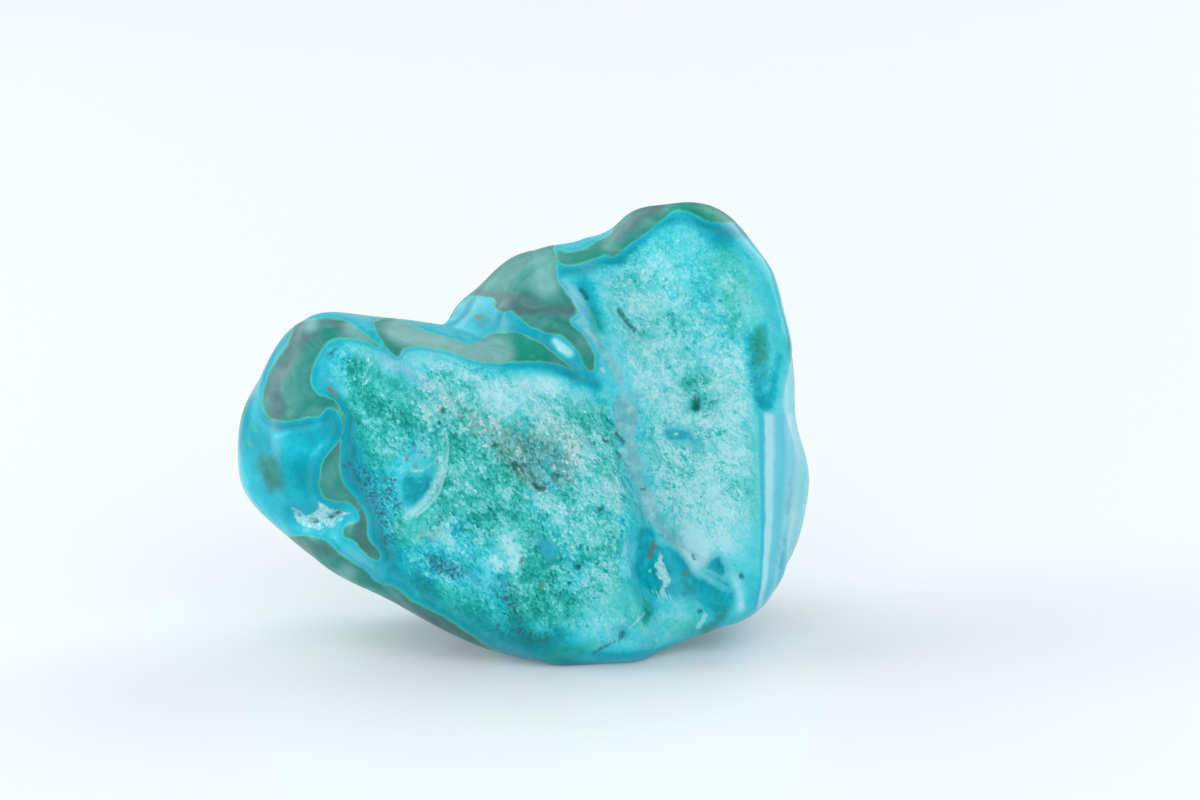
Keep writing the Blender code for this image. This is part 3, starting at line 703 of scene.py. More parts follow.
def ellipsoid(points, middle, radii):
    """Distance outside an ellipsoid, true near its surface."""
    scaled = (points - middle) / radii
    size = np.linalg.norm(scaled, axis=1)
    slope = np.linalg.norm(scaled / radii, axis=1)
    return size * (size - 1.0) / np.maximum(slope, 1e-6)


def joined(first, second, softness):
    """Soft minimum: two bodies that run into each other with a rounded valley."""
    lowest = np.minimum(first, second)
    return lowest - softness * np.log1p(np.exp(-np.abs(first - second) / softness))


def off_line(points, corners):
    """Distance of each point from a line through the corners, in as many dimensions as they have."""
    corners = np.array(list(corners) + [corners[-1]], dtype=float)
    nearest = np.full(len(points), np.inf)
    for start, end in zip(corners[:-1], corners[1:]):
        along = end - start
        share = np.clip((points - start) @ along / max(along @ along, 1e-9), 0.0, 1.0)
        nearest = np.minimum(nearest, np.linalg.norm(points - start - share[:, None] * along, axis=1))
    return nearest


def relief(points):
    """How far the surface is pressed in: each line's depth * exp(-(distance / radius)^2), and the waves."""
    pressed = np.zeros(len(points))
    for depth, radius, corners in RELIEF.values():
        pressed += depth * np.exp(-((off_line(points, corners) / radius) ** 2))
    for height, vector, phase in WAVES.values():
        pressed += height * np.sin(points @ np.array(vector) + phase)
    return pressed


def outside_stone(points):
    """Distance outside the stone, with its base cut flat, in millimetres. It is negative inside."""
    left = worn_block(points, LEFT_MIDDLE, LEFT_FACETS)
    right = worn_block(points, RIGHT_MIDDLE, RIGHT_FACETS)
    heel = ellipsoid(points, HEEL_MIDDLE, HEEL_RADII)
    dome = ellipsoid(points, DOME_MIDDLE, DOME_RADII)
    right = joined(joined(right, heel, CREASE), dome, SHOULDER)
    body = joined(left, right, CREASE) + relief(points)
    return np.maximum(body, -points[:, 2])


def surface_points(directions):
    """The point where a ray from the core leaves the stone, for each unit direction, by halving."""
    near = np.zeros(len(directions))
    far = np.full(len(directions), REACH)
    for _ in range(HALVINGS):
        middle = (near + far) / 2
        inside = outside_stone(CORE + directions * middle[:, None]) < 0
        near = np.where(inside, middle, near)
        far = np.where(inside, far, middle)
    return CORE + directions * near[:, None]


def cube_sphere():
    """Unit directions and the squares between them: the six faces of a cube, each a grid in two
    parameters, blown up to a sphere with tan(parameter * 45 degrees) so that the squares stay even, and
    drawn towards the front. Points that faces share are merged by their place on the cube's lattice."""
    step = np.arange(GRID + 1)
    first, second = (part.ravel() for part in np.meshgrid(step, step, indexing="ij"))
    corner = (np.arange(GRID)[:, None] * (GRID + 1) + np.arange(GRID)[None, :]).ravel()
    square = np.stack([corner, corner + GRID + 1, corner + GRID + 2, corner + 1], axis=1)
    lattice, squares = [], []
    for axis in range(3):
        for side in (0, GRID):
            face = np.empty((len(first), 3), dtype=int)
            face[:, axis] = side
            face[:, (axis + 1) % 3] = first
            face[:, (axis + 2) % 3] = second
            squares.append((square if side else square[:, ::-1]) + len(first) * len(lattice))
            lattice.append(face)
    lattice, order = np.unique(np.concatenate(lattice), axis=0, return_inverse=True)
    squares = order.ravel()[np.concatenate(squares)]
    directions = np.tan((lattice / GRID - 0.5) * math.pi / 2)
    directions /= np.linalg.norm(directions, axis=1)[:, None]
    directions = directions + FRONT_PULL * TO_CAMERA
    return directions / np.linalg.norm(directions, axis=1)[:, None], squares


def lattice_noise(points, size, seed):
    """Random numbers from -1 to 1 at the corners of cubes of a size in mm, eased from corner to corner."""
    table = np.random.default_rng(seed).uniform(-1.0, 1.0, (32, 32, 32))
    cell = points / size
    corner = np.floor(cell).astype(int)
    share = cell - corner
    share = share * share * (3.0 - 2.0 * share)
    total = np.zeros(len(points))
    for dx in (0, 1):
        for dy in (0, 1):
            for dz in (0, 1):
                step = np.array([dx, dy, dz])
                weight = np.where(step, share, 1.0 - share).prod(axis=1)
                total += weight * table[tuple(((corner + step) % 32).T)]
    return total


def mesh_normals(points, squares):
    """Unit normals of the points: the sum of the crossed diagonals of the squares around each."""
    crossed = np.cross(
        points[squares[:, 2]] - points[squares[:, 0]],
        points[squares[:, 3]] - points[squares[:, 1]],
    )
    normals = np.zeros_like(points)
    for corner in range(4):
        np.add.at(normals, squares[:, corner], crossed)
    return normals / np.maximum(np.linalg.norm(normals, axis=1), 1e-12)[:, None]


# ---------------------------------------------------------------------------------------------------
# Drawing


def on_sheet(points):
    """Where the camera sees each point, in millimetres on the sheet."""
    offset = points - AIM
    scale = CAMERA_AWAY / (CAMERA_AWAY - offset @ TO_CAMERA)
    return np.stack([SHEET[0] / 2 + offset[:, 0] * scale, SHEET[1] / 2 - (offset @ SHEET_UP) * scale], axis=1)


def smooth_line(corners, closed, pieces=5):
    """A Catmull-Rom curve: between two corners it runs parallel to the line joining their neighbours."""
    corners = np.array(corners, dtype=float)
    if closed:
        padded = np.concatenate([corners[-1:], corners, corners[:2]])
    else:
        padded = np.concatenate([corners[:1], corners, corners[-1:]])
    share = np.arange(pieces)[:, None] / pieces
    runs = []
    for before, start, end, after in zip(padded[:-3], padded[1:-2], padded[2:-1], padded[3:]):
        runs.append(
            0.5
            * (
                2 * start
                + (end - before) * share
                + (2 * before - 5 * start + 4 * end - after) * share**2
                + (3 * start - before - 3 * end + after) * share**3
            )
        )
    if not closed:
        runs.append(corners[-1:])
    return np.concatenate(runs)


def inside_outline(places, outline):
    """True where a line drawn to the right from the place crosses the outline an odd number of times."""
    inside = np.zeros(len(places), dtype=bool)
    x, y = places.T
    for (x0, y0), (x1, y1) in zip(outline, np.roll(outline, -1, axis=0)):
        if y0 == y1:
            continue
        crosses = (y0 > y) != (y1 > y)
        inside ^= crosses & (x < x0 + (y - y0) * (x1 - x0) / (y1 - y0))
    return inside


def off_outlines(places, outlines):
    """Distance outside the nearest of several closed outlines, in mm, and negative inside one."""
    nearest = np.full(len(places), np.inf)
    for corners in outlines.values():
        outline = smooth_line(corners, closed=True)
        distance = off_line(places, np.concatenate([outline, outline[:1]]))
        nearest = np.minimum(nearest, np.where(inside_outline(places, outline), -distance, distance))
    return nearest


def off_strokes(places, strokes):
    """Distance outside the nearest of several lines of a width, in mm, and negative on one."""
    nearest = np.full(len(places), np.inf)
    for width, corners in strokes.values():
        line = smooth_line(corners, closed=False) if len(corners) > 2 else corners
        nearest = np.minimum(nearest, off_line(places, line) - width / 2)
    return nearest


def patches(places, table):
    """Sum of soft patches: strength * exp(-(distance / radius)^2)."""
    total = np.zeros(len(places))
    for strength, radius, corners in table.values():
        total += strength * np.exp(-((off_line(places, corners) / radius) ** 2))
    return total


def eased(value, low, high):
    """0 below low, 1 above high, and smooth between."""
    share = np.clip((value - low) / (high - low), 0.0, 1.0)
    return share * share * (3.0 - 2.0 * share)


def flank_stripes(sheet, facing):
    """How far right of the flank's first stripe each point lies, in mm at the stripes' full width, and
    the share of the stripes in its colour, from 0 to 1."""
    x, y = sheet.T
    start_y, start_x, width = np.array(FLANK).T
    stripe = (x - np.interp(y, start_y, start_x)) / np.interp(y, start_y, width)
    share = eased(y, *FLANK_TOP) * eased(y, *FLANK_FOOT) * eased(facing, -0.1, 0.2)
    return stripe, share


def drawing(points, normals):
    """Every field of colour and finish, as numbers on the points. The front takes them from the drawing,
    and where the surface turns away they give way to a field that runs round the stone."""
    sheet = on_sheet(points)
    facing = normals @ TO_CAMERA
    front = eased(facing, -0.32, -0.02)
    beyond = (0.12 + facing) * -9.0  # grows by about 1 mm for each mm past the edge that the camera sees

    wander = 8.0 * lattice_noise(points, 15.0, 1) + 2.2 * lattice_noise(points, 5.0, 2)
    across = points @ BACK_DIRECTION - 10.0 + wander
    band = np.min([np.abs(across - place) - half for place, half in BACK_BANDS.values()], axis=0)
    rough_back = eased(lattice_noise(points, 9.0, 3) + 0.35 * lattice_noise(points, 4.0, 4), -0.05, 0.35)
    rough_back *= eased(band, 0.4, 2.0)
    tone_back = 0.42 + 0.22 * lattice_noise(points, 7.0, 5) + 0.16 * lattice_noise(points, 2.6, 6)
    tone_back -= 0.30 * np.exp(-((band / 0.8) ** 2))
    green_back = np.clip(0.9 * lattice_noise(points, 6.0, 7) + 0.1, 0.0, 1.0)
    stain_back = np.clip(1.6 * lattice_noise(points, 5.5, 9) - 0.5, 0.0, 1.0) * rough_back

    behind = {
        "tone": tone_back,
        "green": green_back,
        "stain": stain_back,
        "lilac": 0.3 * green_back,
        "grain": rough_back,
        "emerald": 0.9 * lattice_noise(points, 5.0, 8),
    }

    malachite = np.maximum(off_outlines(sheet, MALACHITE), beyond)
    flank, flank_share = flank_stripes(sheet, facing)
    fields = {
        "malachite": np.minimum(malachite, np.maximum(band, -beyond)),
        "flank": flank,
        "flank_share": front * flank_share,
    }
    for name, table in OUTLINED.items():
        fields[name] = np.maximum(off_outlines(sheet, table), beyond)
    for name, table in STROKED.items():
        fields[name] = np.maximum(off_strokes(sheet, table), beyond)
    soft = {name: patches(sheet, table) for name, table in PAINTED.items()}
    soft["tone"] += MIDDLE_TONE
    for name in ("grain", "specks"):
        soft[name] = np.clip(soft[name], 0.0, 1.0)
    for name, value in soft.items():
        fields[name] = front * value + (1 - front) * behind.get(name, 0.0)

    fields = {name: np.minimum(value, FAR) for name, value in fields.items()}
    polished = eased(fields["malachite"], 0.1, 0.6) * eased(fields["glassy"], -0.1, 0.4)
    fields["grain"] = fields["grain"] * polished
    fields["flank_share"] = fields["flank_share"] * eased(fields["flank"], 4.8, 3.4)
    fields["grain"] *= 1 - fields["flank_share"] * eased(fields["flank"], -1.0, 0.0)
    return sheet, facing, fields


def carved(points, normals, sheet, facing, fields):
    """The points moved along their normals: the grain's own relief, and the small pits pressed into it."""
    grain = fields["grain"]
    lift = 0.055 * lattice_noise(points, 1.5, 11) + 0.05 * lattice_noise(points, 0.8, 12)
    lift += 0.035 * lattice_noise(points, 0.5, 13)
    lift *= grain
    front = facing > -0.1
    for radius, depth, places in PITS.values():
        for place in places:
            distance = np.linalg.norm(sheet - np.array(place), axis=1)
            lift -= front * depth * np.exp(-((distance / radius) ** 2))
    draw = np.random.default_rng(21)
    chosen = draw.choice(len(points), PIT_COUNT, replace=False)
    radii = draw.uniform(0.18, 0.42, PIT_COUNT)
    for index, radius in zip(chosen, radii):
        if grain[index] > 0.5:
            distance = np.linalg.norm(points - points[index], axis=1)
            lift -= radius * 0.8 * np.exp(-((distance / radius) ** 2))
    lift -= 0.05 * np.exp(-((fields["dark_line"] / 0.3) ** 2))
    lift *= eased(points[:, 2], 0.05, 0.6)
    return points + normals * lift[:, None]


def stone_piece():
    """The fine stone, with its fields as attributes, placed so that its box is the solid's."""
    directions, squares = cube_sphere()
    points = surface_points(directions)
    normals = mesh_normals(points, squares)
    sheet, facing, fields = drawing(points, normals)
    points = carved(points, normals, sheet, facing, fields)

    low, high = (np.array(corner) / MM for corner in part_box("stone"))
    shift = (low + high) / 2 - (points.min(axis=0) + points.max(axis=0)) / 2
    shift[2] = 0.0
    points = points + shift

    mesh = bpy.data.meshes.new("polished stone")
    mesh.from_pydata((points * MM).tolist(), [], squares.tolist())
    for name, value in fields.items():
        attribute = mesh.attributes.new(name, "FLOAT", "POINT")
        attribute.data.foreach_set("value", value.astype(np.float32))
    mesh.shade_smooth()
    mesh.update()
    piece = bpy.data.objects.new("polished_stone", mesh)
    bpy.context.scene.collection.objects.link(piece)
    return piece, shift


# ---------------------------------------------------------------------------------------------------
# Finish


def linear(colour):
    """An sRGB hex colour such as "#1CA9C4" as linear numbers."""
    parts = [int(colour[at : at + 2], 16) / 255 for at in (1, 3, 5)]
    return [part / 12.92 if part <= 0.04045 else ((part + 0.055) / 1.055) ** 2.4 for part in parts] + [1.0]


def add(tree, kind, settings=None, **links):
    """A node of a kind in the tree, with its properties set and its inputs given values or linked. An
    input's name is written with _ for a space, and a number after in_ gives the input by its place."""
    node = tree.nodes.new("ShaderNode" + kind)
    for name, value in (settings or {}).items():
        setattr(node, name, value)
    for name, value in links.items():
        if name.startswith("in_"):
            socket = node.inputs[int(name[3:])]
        else:
            socket = node.inputs[name.replace("_", " ")]
        if isinstance(value, bpy.types.Node):
            value = value.outputs[0]
        if isinstance(value, bpy.types.NodeSocket):
            tree.links.new(value, socket)
        else:
            socket.default_value = value
    return node


def sum_of(tree, first, second, factor=1.0):
    """first + second * factor"""
    return add(tree, "Math", {"operation": "MULTIPLY_ADD"}, in_0=second, in_1=factor, in_2=first)


def product(tree, first, second):
    """first * second"""
    return add(tree, "Math", {"operation": "MULTIPLY"}, in_0=first, in_1=second)


def step_down(tree, value, low, high, top=1.0):
    """top where value is below low, falling smoothly to 0 at high."""
    settings = {"interpolation_type": "SMOOTHSTEP"}
    return add(tree, "MapRange", settings, Value=value, From_Min=low, From_Max=high, To_Min=top, To_Max=0.0)


def step_up(tree, value, low, high, top=1.0):
    """0 where value is below low, rising smoothly to top at high."""
    settings = {"interpolation_type": "SMOOTHSTEP"}
    return add(tree, "MapRange", settings, Value=value, From_Min=low, From_Max=high, To_Min=0.0, To_Max=top)


def blend(tree, share, below, above):
    """The colour below, covered by the colour above by a share. Colours are hex values or sockets."""
    below = linear(below) if isinstance(below, str) else below
    above = linear(above) if isinstance(above, str) else above
    node = add(tree, "Mix", {"data_type": "RGBA"}, in_0=share, in_6=below, in_7=above)
    return node.outputs[2]


def ramp(tree, value, stops):
    """A colour ramp through (place, hex colour) stops."""
    node = add(tree, "ValToRGB", Fac=value)
    elements = node.color_ramp.elements
    while len(elements) < len(stops):
        elements.new(1.0)
    for element, (place, colour) in zip(elements, stops):
        element.position = place
        element.color = linear(colour)
    return node.outputs[0]


def per_metre(size):
    """The scale of a pattern whose features are a size in millimetres."""
    return 1.0 / (size * MM)


def noise(tree, place, size, detail=3.0, rough=0.55, distortion=0.0):
    """Noise from about -0.5 to 0.5, with features of a size in mm."""
    node = add(
        tree,
        "TexNoise",
        Vector=place,
        Scale=per_metre(size),
        Detail=detail,
        Roughness=rough,
        Distortion=distortion,
    )
    return add(tree, "Math", {"operation": "SUBTRACT"}, in_0=node.outputs["Fac"], in_1=0.5)


def grains(tree, place, size):
    """Crisp grains of a size in mm, with sides bent by fine noise: the middle of the grain that a point is
    in, and a random number for it from about -0.5 to 0.5."""
    bend = add(tree, "TexNoise", Vector=place, Scale=per_metre(size), Detail=2.0)
    bent = add(
        tree,
        "VectorMath",
        {"operation": "MULTIPLY_ADD"},
        in_0=bend.outputs["Color"],
        in_1=(1.6 * size * MM,) * 3,
        in_2=place,
    )
    cells = add(tree, "TexVoronoi", Vector=bent, Scale=per_metre(size))
    number = add(tree, "Math", {"operation": "SUBTRACT"}, in_0=cells.outputs["Color"], in_1=0.5)
    return cells.outputs["Position"], number


# Tints of the chrysocolla, as (tone, colour): from dense and glassy at 0 to chalky at 1.
BLUE_TINTS = [
    (0.0, "#00808C"), (0.2, "#0095A7"), (0.4, "#14B2C4"), (0.56, "#47C8D3"), (0.74, "#75D2DC"),
    (1.0, "#AAE1E9"),
]
GREEN_TINTS = [
    (0.0, "#007A70"), (0.2, "#009188"), (0.4, "#22ADA4"), (0.58, "#4BC2BF"), (0.76, "#73D0D3"),
    (1.0, "#A4DFE5"),
]
LILAC_TINTS = [(0.0, "#198BAC"), (0.45, "#58B1CA"), (0.75, "#87C6D9"), (1.0, "#C6DFE8")]
STAINED_TINTS = [
    (0.0, "#265A56"), (0.35, "#5E9691"), (0.6, "#89B1AE"), (0.85, "#B1CDCD"), (1.0, "#D3E2E2"),
]


def crumbs_and_pores(tree, place, tone, grain):
    """The broken surface of the porous stone, drawn out along the slant that its grain has: its tone,
    and two masks from 0 to 1 for pale crumbs and dark pores, 0.1 to 0.5 mm across. Paler ground has more
    crumbs and thin threads of crust, and darker ground has more pores."""
    slant = add(
        tree,
        "Mapping",
        {"vector_type": "TEXTURE"},
        Vector=place,
        Rotation=(0.0, math.radians(-37.0), 0.0),
        Scale=(1.0, 1.0, 1.6),
    )
    middle, each = grains(tree, slant, 0.19)
    clots = sum_of(tree, -0.12, step_up(tree, noise(tree, middle, 2.2, 7.0, 0.78), -0.045, 0.045, 0.24))
    clots = sum_of(tree, clots, noise(tree, middle, 0.9, 5.0, 0.8), 1.1)
    clots = sum_of(tree, clots, each, 0.48)
    tone = sum_of(tree, tone, product(tree, grain, clots), 1.0)
    lean = sum_of(tree, -0.5, tone)
    crumb = sum_of(tree, noise(tree, middle, 0.8, 6.0, 0.82), lean, 0.14)
    crumb = step_up(tree, crumb, 0.09, 0.14)
    thread = add(tree, "Math", {"operation": "ABSOLUTE"}, in_0=noise(tree, slant, 0.9, 3.0, 0.6, 0.8))
    thread = product(tree, step_down(tree, thread, 0.012, 0.03), step_up(tree, tone, 0.4, 0.9, 0.8))
    crumb = add(tree, "Math", {"operation": "MAXIMUM"}, in_0=crumb, in_1=thread)
    pore = sum_of(tree, noise(tree, middle, 0.6, 6.0, 0.82), lean, 0.10)
    pore = step_down(tree, pore, -0.17, -0.12)
    return tone, product(tree, crumb, grain), product(tree, pore, grain)


def chrysocolla_colour(tree, place, field, tone, crumb, pore):
    """Chrysocolla: deep teal where it is glassy and dense, through cyan to chalky white where it is
    porous, and green where malachite is mixed in. Clouds and wisps run through it where it is polished,
    and crumbs and pores break it up where it is not."""
    cloud = noise(tree, place, 4.0, 4.0, 0.6, 1.5)
    wisps = noise(tree, place, 1.1, 6.0, 0.7, 1.2)
    tone = sum_of(tree, tone, cloud, 0.36)
    tone = sum_of(tree, tone, product(tree, wisps, sum_of(tree, 0.35, field["grain"], 0.6)), 1.0)
    tone = sum_of(tree, tone, crumb, 0.26)
    tone = sum_of(tree, tone, pore, -0.42)
    patchy = noise(tree, place, 1.6, 5.0, 0.75)
    greenness = sum_of(tree, field["green"], product(tree, field["grain"], patchy), 1.6)
    greenness = sum_of(tree, greenness, field["grain"], 0.28)
    greenness = sum_of(tree, greenness, pore, 0.5)
    blue = ramp(tree, tone, BLUE_TINTS)
    colour = blend(tree, step_up(tree, greenness, 0.1, 0.75), blue, ramp(tree, tone, GREEN_TINTS))
    lilac = step_up(tree, field["lilac"], 0.1, 1.1, 0.8)
    colour = blend(tree, lilac, colour, ramp(tree, tone, LILAC_TINTS))
    stained = sum_of(tree, field["stain"], noise(tree, place, 0.7, 5.0, 0.8), 4.0)
    return blend(tree, step_up(tree, stained, 0.40, 1.25, 0.7), colour, ramp(tree, tone, STAINED_TINTS))


def malachite_colour(tree, place, field, edge):
    """Malachite: faint bands that follow the outline of the patch, in grey greens, with emerald where it is
    thick and dusky brown where iron has got in, and a pale grey blue that is mostly painted sheen and painted
    reflection of the white floor."""
    waver = noise(tree, place, 2.4, 3.0, 0.55, 0.6)
    depth = sum_of(tree, edge, waver, 1.1)
    rings = add(tree, "Math", {"operation": "SINE"}, in_0=product(tree, depth, 6.0))
    shade = sum_of(tree, 0.46, rings, 0.022)
    shade = sum_of(tree, shade, noise(tree, place, 3.2, 4.0, 0.6, 1.5), 0.8)
    base = ramp(tree, shade, [(0.2, "#01776E"), (0.42, "#2C867D"), (0.6, "#4A948D"), (0.85, "#70ABA5")])
    emerald = ramp(tree, shade, [(0.2, "#007F6A"), (0.5, "#098E7B"), (0.8, "#46A798")])
    brown = ramp(tree, shade, [(0.2, "#2F5A58"), (0.5, "#4A7475"), (0.8, "#6E8F96")])
    # The pale colour is mostly painted sheen on the polished tops and painted reflection of the white floor
    # on the underside.
    pale = ramp(tree, shade, [(0.2, "#60A9A3"), (0.6, "#85BBBC"), (0.9, "#A0C8CF")])
    wander = sum_of(tree, field["emerald"], noise(tree, place, 1.8, 3.0), 0.7)
    colour = blend(tree, step_up(tree, wander, 0.15, 1.0, 0.95), base, emerald)
    colour = blend(tree, step_down(tree, wander, -1.0, -0.1, 0.95), colour, brown)
    return blend(tree, step_up(tree, field["pale_malachite_and_sheen"], 0.05, 1.0, 0.75), colour, pale)


def striped(tree, field, wobble, colour):
    """The flank, where the layers of chrysocolla stand on edge: milky stripes between deeper ones, the milky
    stripe partly a painted highlight where the front turns into the flank.
    """
    along = product(tree, sum_of(tree, field["flank"], wobble, 0.5), 1 / FLANK_REACH)
    stripes = ramp(tree, along, [(start / FLANK_REACH, FLANK_TINTS[tint]) for start, tint in FLANK_STRIPES])
    share = product(tree, field["flank_share"], step_up(tree, field["flank"], -0.35, 0.0))
    return blend(tree, share, colour, stripes)


def pooled(tree, place, field, wobble, ragged, colour):
    """Pools of dense, glassy chrysocolla: deep teal with a halo where they run out."""
    depth = sum_of(tree, 0.5, noise(tree, place, 1.4, 5.0, 0.65, 1.0), 1.6)
    teal = ramp(tree, depth, [(0.2, "#008894"), (0.5, "#00A0B0"), (0.8, "#15B6CA")])
    glassy = sum_of(tree, sum_of(tree, field["glassy"], ragged, 0.5), wobble, 0.5)
    colour = blend(tree, step_down(tree, glassy, -0.05, 0.7, 0.45), colour, "#10A5B9")
    return blend(tree, step_down(tree, glassy, -0.28, 0.10), colour, teal)


def banded_beside_malachite(tree, edge, colour):
    """The chrysocolla next to malachite is banded along its edge: a deep line, then a paler one."""
    deep = product(tree, step_up(tree, edge, 0.06, 0.16), step_down(tree, edge, 0.22, 0.60, 0.45))
    colour = blend(tree, deep, colour, "#009AB7")
    paler = product(tree, step_up(tree, edge, 0.50, 0.80), step_down(tree, edge, 0.90, 1.5, 0.14))
    return blend(tree, paler, colour, "#56BECD")


def veined_with_quartz(tree, smoke, field, ragged, colour):
    """The grey quartz of the seam, smoky and half clear, with ragged sides."""
    vein = sum_of(tree, field["quartz"], ragged, 1.3)
    grey = ramp(tree, smoke, [(0.2, "#569AA4"), (0.5, "#70AFB9"), (0.8, "#A0CAD3")])
    return blend(tree, step_down(tree, vein, -0.45, 0.30, 0.75), colour, grey)


def with_malachite(tree, place, smoke, field, edge, wobble, ragged, colour):
    """Malachite with its sharp edge and the bright green rim along it, and where it lies under a skin of
    chrysocolla, olive with no edge."""
    malachite = malachite_colour(tree, place, field, edge)
    colour = blend(tree, step_down(tree, edge, -0.04, 0.04), colour, malachite)
    olive = ramp(tree, smoke, [(0.2, "#056658"), (0.8, "#377F70")])
    haze = sum_of(tree, sum_of(tree, field["haze"], wobble, 1.0), ragged, 0.5)
    colour = blend(tree, step_up(tree, haze, 0.2, 1.2, 0.95), colour, olive)
    rim = product(tree, step_up(tree, edge, -0.20, -0.08), step_down(tree, edge, 0.0, 0.08))
    patchy = sum_of(tree, 0.5, noise(tree, place, 2.6, 2.0), 1.6)
    return blend(tree, product(tree, rim, patchy), colour, "#50BA9C")


def with_marks(tree, place, field, wobble, ragged, colour):
    """Everything drawn fine on top: green veinlets, rust spots, white crust with lumps about 0.4 mm
    across, pale and dark lines."""
    green_line = sum_of(tree, field["green_line"], wobble, 0.18)
    colour = blend(tree, step_down(tree, green_line, -0.10, 0.08, 0.8), colour, "#35AB92")
    brown_spot = sum_of(tree, field["brown_spot"], ragged, 0.9)
    colour = blend(tree, step_down(tree, brown_spot, -0.10, 0.24, 0.6), colour, "#4E8A70")
    colour = blend(tree, step_down(tree, brown_spot, -0.20, 0.06, 0.8), colour, "#7A7262")
    lumps = sum_of(tree, 0.5, noise(tree, place, 0.4, 3.0, 0.7), 1.8)
    chalk = ramp(tree, lumps, [(0.1, "#5ABFC6"), (0.5, "#99D7DD"), (0.8, "#CFE6EA")])
    crust = sum_of(tree, field["crust"], ragged, 0.7)
    colour = blend(tree, step_down(tree, crust, -0.10, 0.10, 0.85), colour, chalk)
    # Pale lines: crust and white flecks, and one painted highlight on the blue spot.
    pale_line = sum_of(tree, field["pale_line"], ragged, 0.35)
    colour = blend(tree, step_down(tree, pale_line, -0.10, 0.08, 0.7), colour, "#A4D9DF")
    # Dark lines: pits, holes, cracks and gaps, and painted shade in the hollow beside the slit.
    dark_line = sum_of(tree, field["dark_line"], ragged, 0.5)
    colour = blend(tree, step_down(tree, dark_line, -0.14, 0.16, 0.75), colour, "#155E5A")
    return blend(tree, step_down(tree, dark_line, -0.34, -0.10, 0.8), colour, "#0C3436")


def with_specks(tree, place, field, colour):
    """Dark purple grains, strung on hair-fine threads where they crowd."""
    speck = sum_of(tree, noise(tree, place, 0.34, 3.0, 0.6), field["specks"], 0.15)
    speck = step_up(tree, speck, 0.20, 0.25, 0.85)
    thread = add(tree, "Math", {"operation": "ABSOLUTE"}, in_0=noise(tree, place, 1.3, 4.0, 0.65, 1.0))
    crowded = step_up(tree, field["specks"], 0.3, 0.8, 0.8)
    thread = product(tree, step_down(tree, thread, 0.010, 0.026), crowded)
    speck = add(tree, "Math", {"operation": "MAXIMUM"}, in_0=speck, in_1=thread)
    return blend(tree, speck, colour, "#304C66")


def polished_stone_material():
    """Chrysocolla with malachite, tumbled and buffed. The dense bands have taken a wet-looking polish,
    and the porous grain between them stays half matt."""
    material = bpy.data.materials.new("buffed chrysocolla and malachite")
    material.use_nodes = True
    tree = material.node_tree
    tree.nodes.clear()
    place = add(tree, "TexCoord").outputs["Object"]
    field = {name: add(tree, "Attribute", {"attribute_name": name}).outputs["Fac"] for name in FIELDS}

    wobble = noise(tree, place, 1.3, 3.0, 0.6)
    edge = sum_of(tree, field["malachite"], wobble, 0.45)
    ragged = noise(tree, place, 0.5, 3.0, 0.7)
    smoke = sum_of(tree, 0.5, noise(tree, place, 1.2, 4.0, 0.7), 1.6)
    tone, crumb, pore = crumbs_and_pores(tree, place, field["tone"], field["grain"])

    colour = chrysocolla_colour(tree, place, field, tone, crumb, pore)
    colour = striped(tree, field, wobble, colour)
    colour = pooled(tree, place, field, wobble, ragged, colour)
    colour = banded_beside_malachite(tree, edge, colour)
    colour = veined_with_quartz(tree, smoke, field, ragged, colour)
    colour = with_malachite(tree, place, smoke, field, edge, wobble, ragged, colour)
    colour = with_marks(tree, place, field, wobble, ragged, colour)
    colour = with_specks(tree, place, field, colour)

    gloss = sum_of(tree, 0.24, field["grain"], 0.32)
    gloss = sum_of(tree, gloss, product(tree, field["grain"], ragged), 0.4)
    gloss = sum_of(tree, gloss, step_down(tree, edge, -0.10, 0.10), 0.12)
    height = sum_of(tree, product(tree, crumb, 0.6), pore, -1.0)
    height = sum_of(tree, height, product(tree, field["grain"], noise(tree, place, 0.33, 3.0, 0.7)), 1.0)
    bump = add(tree, "Bump", Strength=0.9, Distance=0.09 * MM, Height=height)
    shader = add(
        tree,
        "BsdfPrincipled",
        Base_Color=colour,
        Roughness=gloss,
        IOR=1.54,
        Specular_IOR_Level=0.15,
        Normal=bump,
    )
    add(tree, "OutputMaterial", Surface=shader.outputs[0])
    return material


def floor_material():
    """White laminated board, faintly blue, with a broad soft sheen. The little light of its own stands
    for what a white room throws back into the shadows."""
    material = bpy.data.materials.new("white board")
    material.use_nodes = True
    shader = material.node_tree.nodes["Principled BSDF"]
    shader.inputs["Base Color"].default_value = linear("#D5D9DC")
    shader.inputs["Roughness"].default_value = 0.45
    shader.inputs["Emission Color"].default_value = linear("#F2F8FD")
    shader.inputs["Emission Strength"].default_value = 0.15
    return material


# ---------------------------------------------------------------------------------------------------
# Stage

STONE_LIT = (0.0, 0.0, 0.02)  # where the lamps round the front point, in metres
BEHIND_LIT = (0.0, 0.1, 0.02)  # where the two behind point
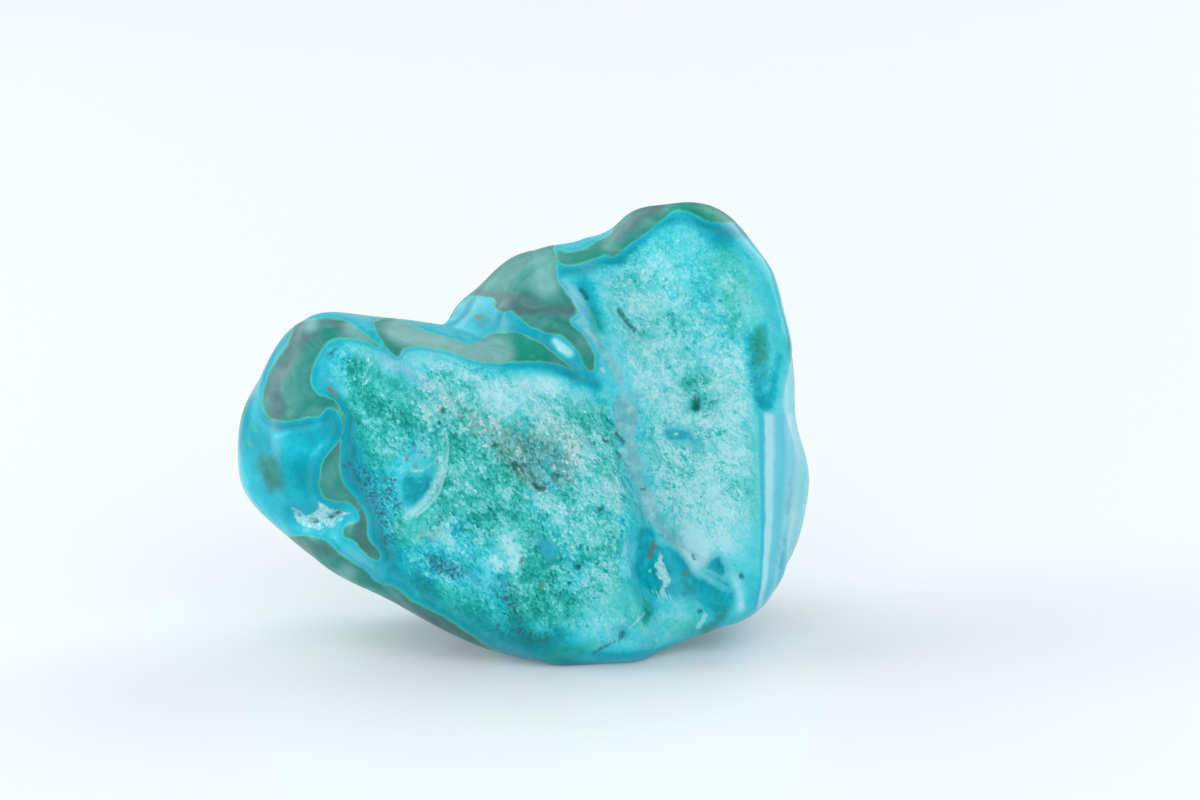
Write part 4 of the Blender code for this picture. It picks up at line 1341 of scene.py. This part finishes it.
# A lamp is (place, size, power, target), in metres and watts.
LAMPS = {
    "front, high": ((0.0, -0.74, 0.52), 0.7, 3.2, STONE_LIT),
    "back right, high": ((0.56, 0.62, 0.56), 0.8, 5.0, BEHIND_LIT),
    "back left, high": ((-0.56, 0.62, 0.56), 0.8, 3.4, BEHIND_LIT),
    "left, high": ((-0.74, 0.0, 0.52), 0.7, 2.2, STONE_LIT),
    "left, low": ((-0.88, 0.0, 0.24), 0.4, 3.2, STONE_LIT),
    "front right, high": ((0.52, -0.52, 0.52), 0.7, 1.4, STONE_LIT),
}
BOARD_HALF = 4.0  # half the board's side, in metres


def floor():
    """A flat board far wider than the view."""
    mesh = bpy.data.meshes.new("board")
    corners = [(x * BOARD_HALF, y * BOARD_HALF, 0) for x, y in ((-1, -1), (1, -1), (1, 1), (-1, 1))]
    mesh.from_pydata(corners, [], [(0, 1, 2, 3)])
    mesh.materials.append(floor_material())
    board = bpy.data.objects.new("board", mesh)
    bpy.context.scene.collection.objects.link(board)


def area_light(name, place, size, power, target):
    """A square white lamp of a size in metres and a power in watts, turned to its target."""
    light = bpy.data.lights.new(name, "AREA")
    light.size = size
    light.energy = power
    lamp = bpy.data.objects.new(name, light)
    lamp.location = place
    lamp.rotation_euler = (Vector(target) - Vector(place)).to_track_quat("-Z", "Y").to_euler()
    bpy.context.scene.collection.objects.link(lamp)


def studio():
    """A white tent, with soft lamps round the stone: the strongest behind it and in front."""
    world = bpy.data.worlds.new("white tent")
    world.use_nodes = True
    background = world.node_tree.nodes["Background"]
    background.inputs["Color"].default_value = linear("#FBFDFF")
    background.inputs["Strength"].default_value = 0.40
    bpy.context.scene.world = world
    for name, (place, size, power, target) in LAMPS.items():
        area_light(name, place, size, power, target)


def camera(shift):
    """The camera that the sheet is drawn for, moved with the stone."""
    data = bpy.data.cameras.new("camera")
    data.sensor_width = 36.0
    data.lens = data.sensor_width * CAMERA_AWAY / SHEET[0]
    data.clip_start = 0.01
    eye = bpy.data.objects.new("camera", data)
    eye.location = Vector((AIM + shift + CAMERA_AWAY * TO_CAMERA) * MM)
    eye.rotation_euler = (math.pi / 2 - LOOK_DOWN, 0.0, 0.0)
    bpy.context.scene.collection.objects.link(eye)
    bpy.context.scene.camera = eye


stone, stone_shift = stone_piece()
stone.data.materials.append(polished_stone_material())
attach(stone, "root")
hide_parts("stone")

floor()
studio()
camera(stone_shift)
bpy.context.scene.view_settings.view_transform = "Standard"
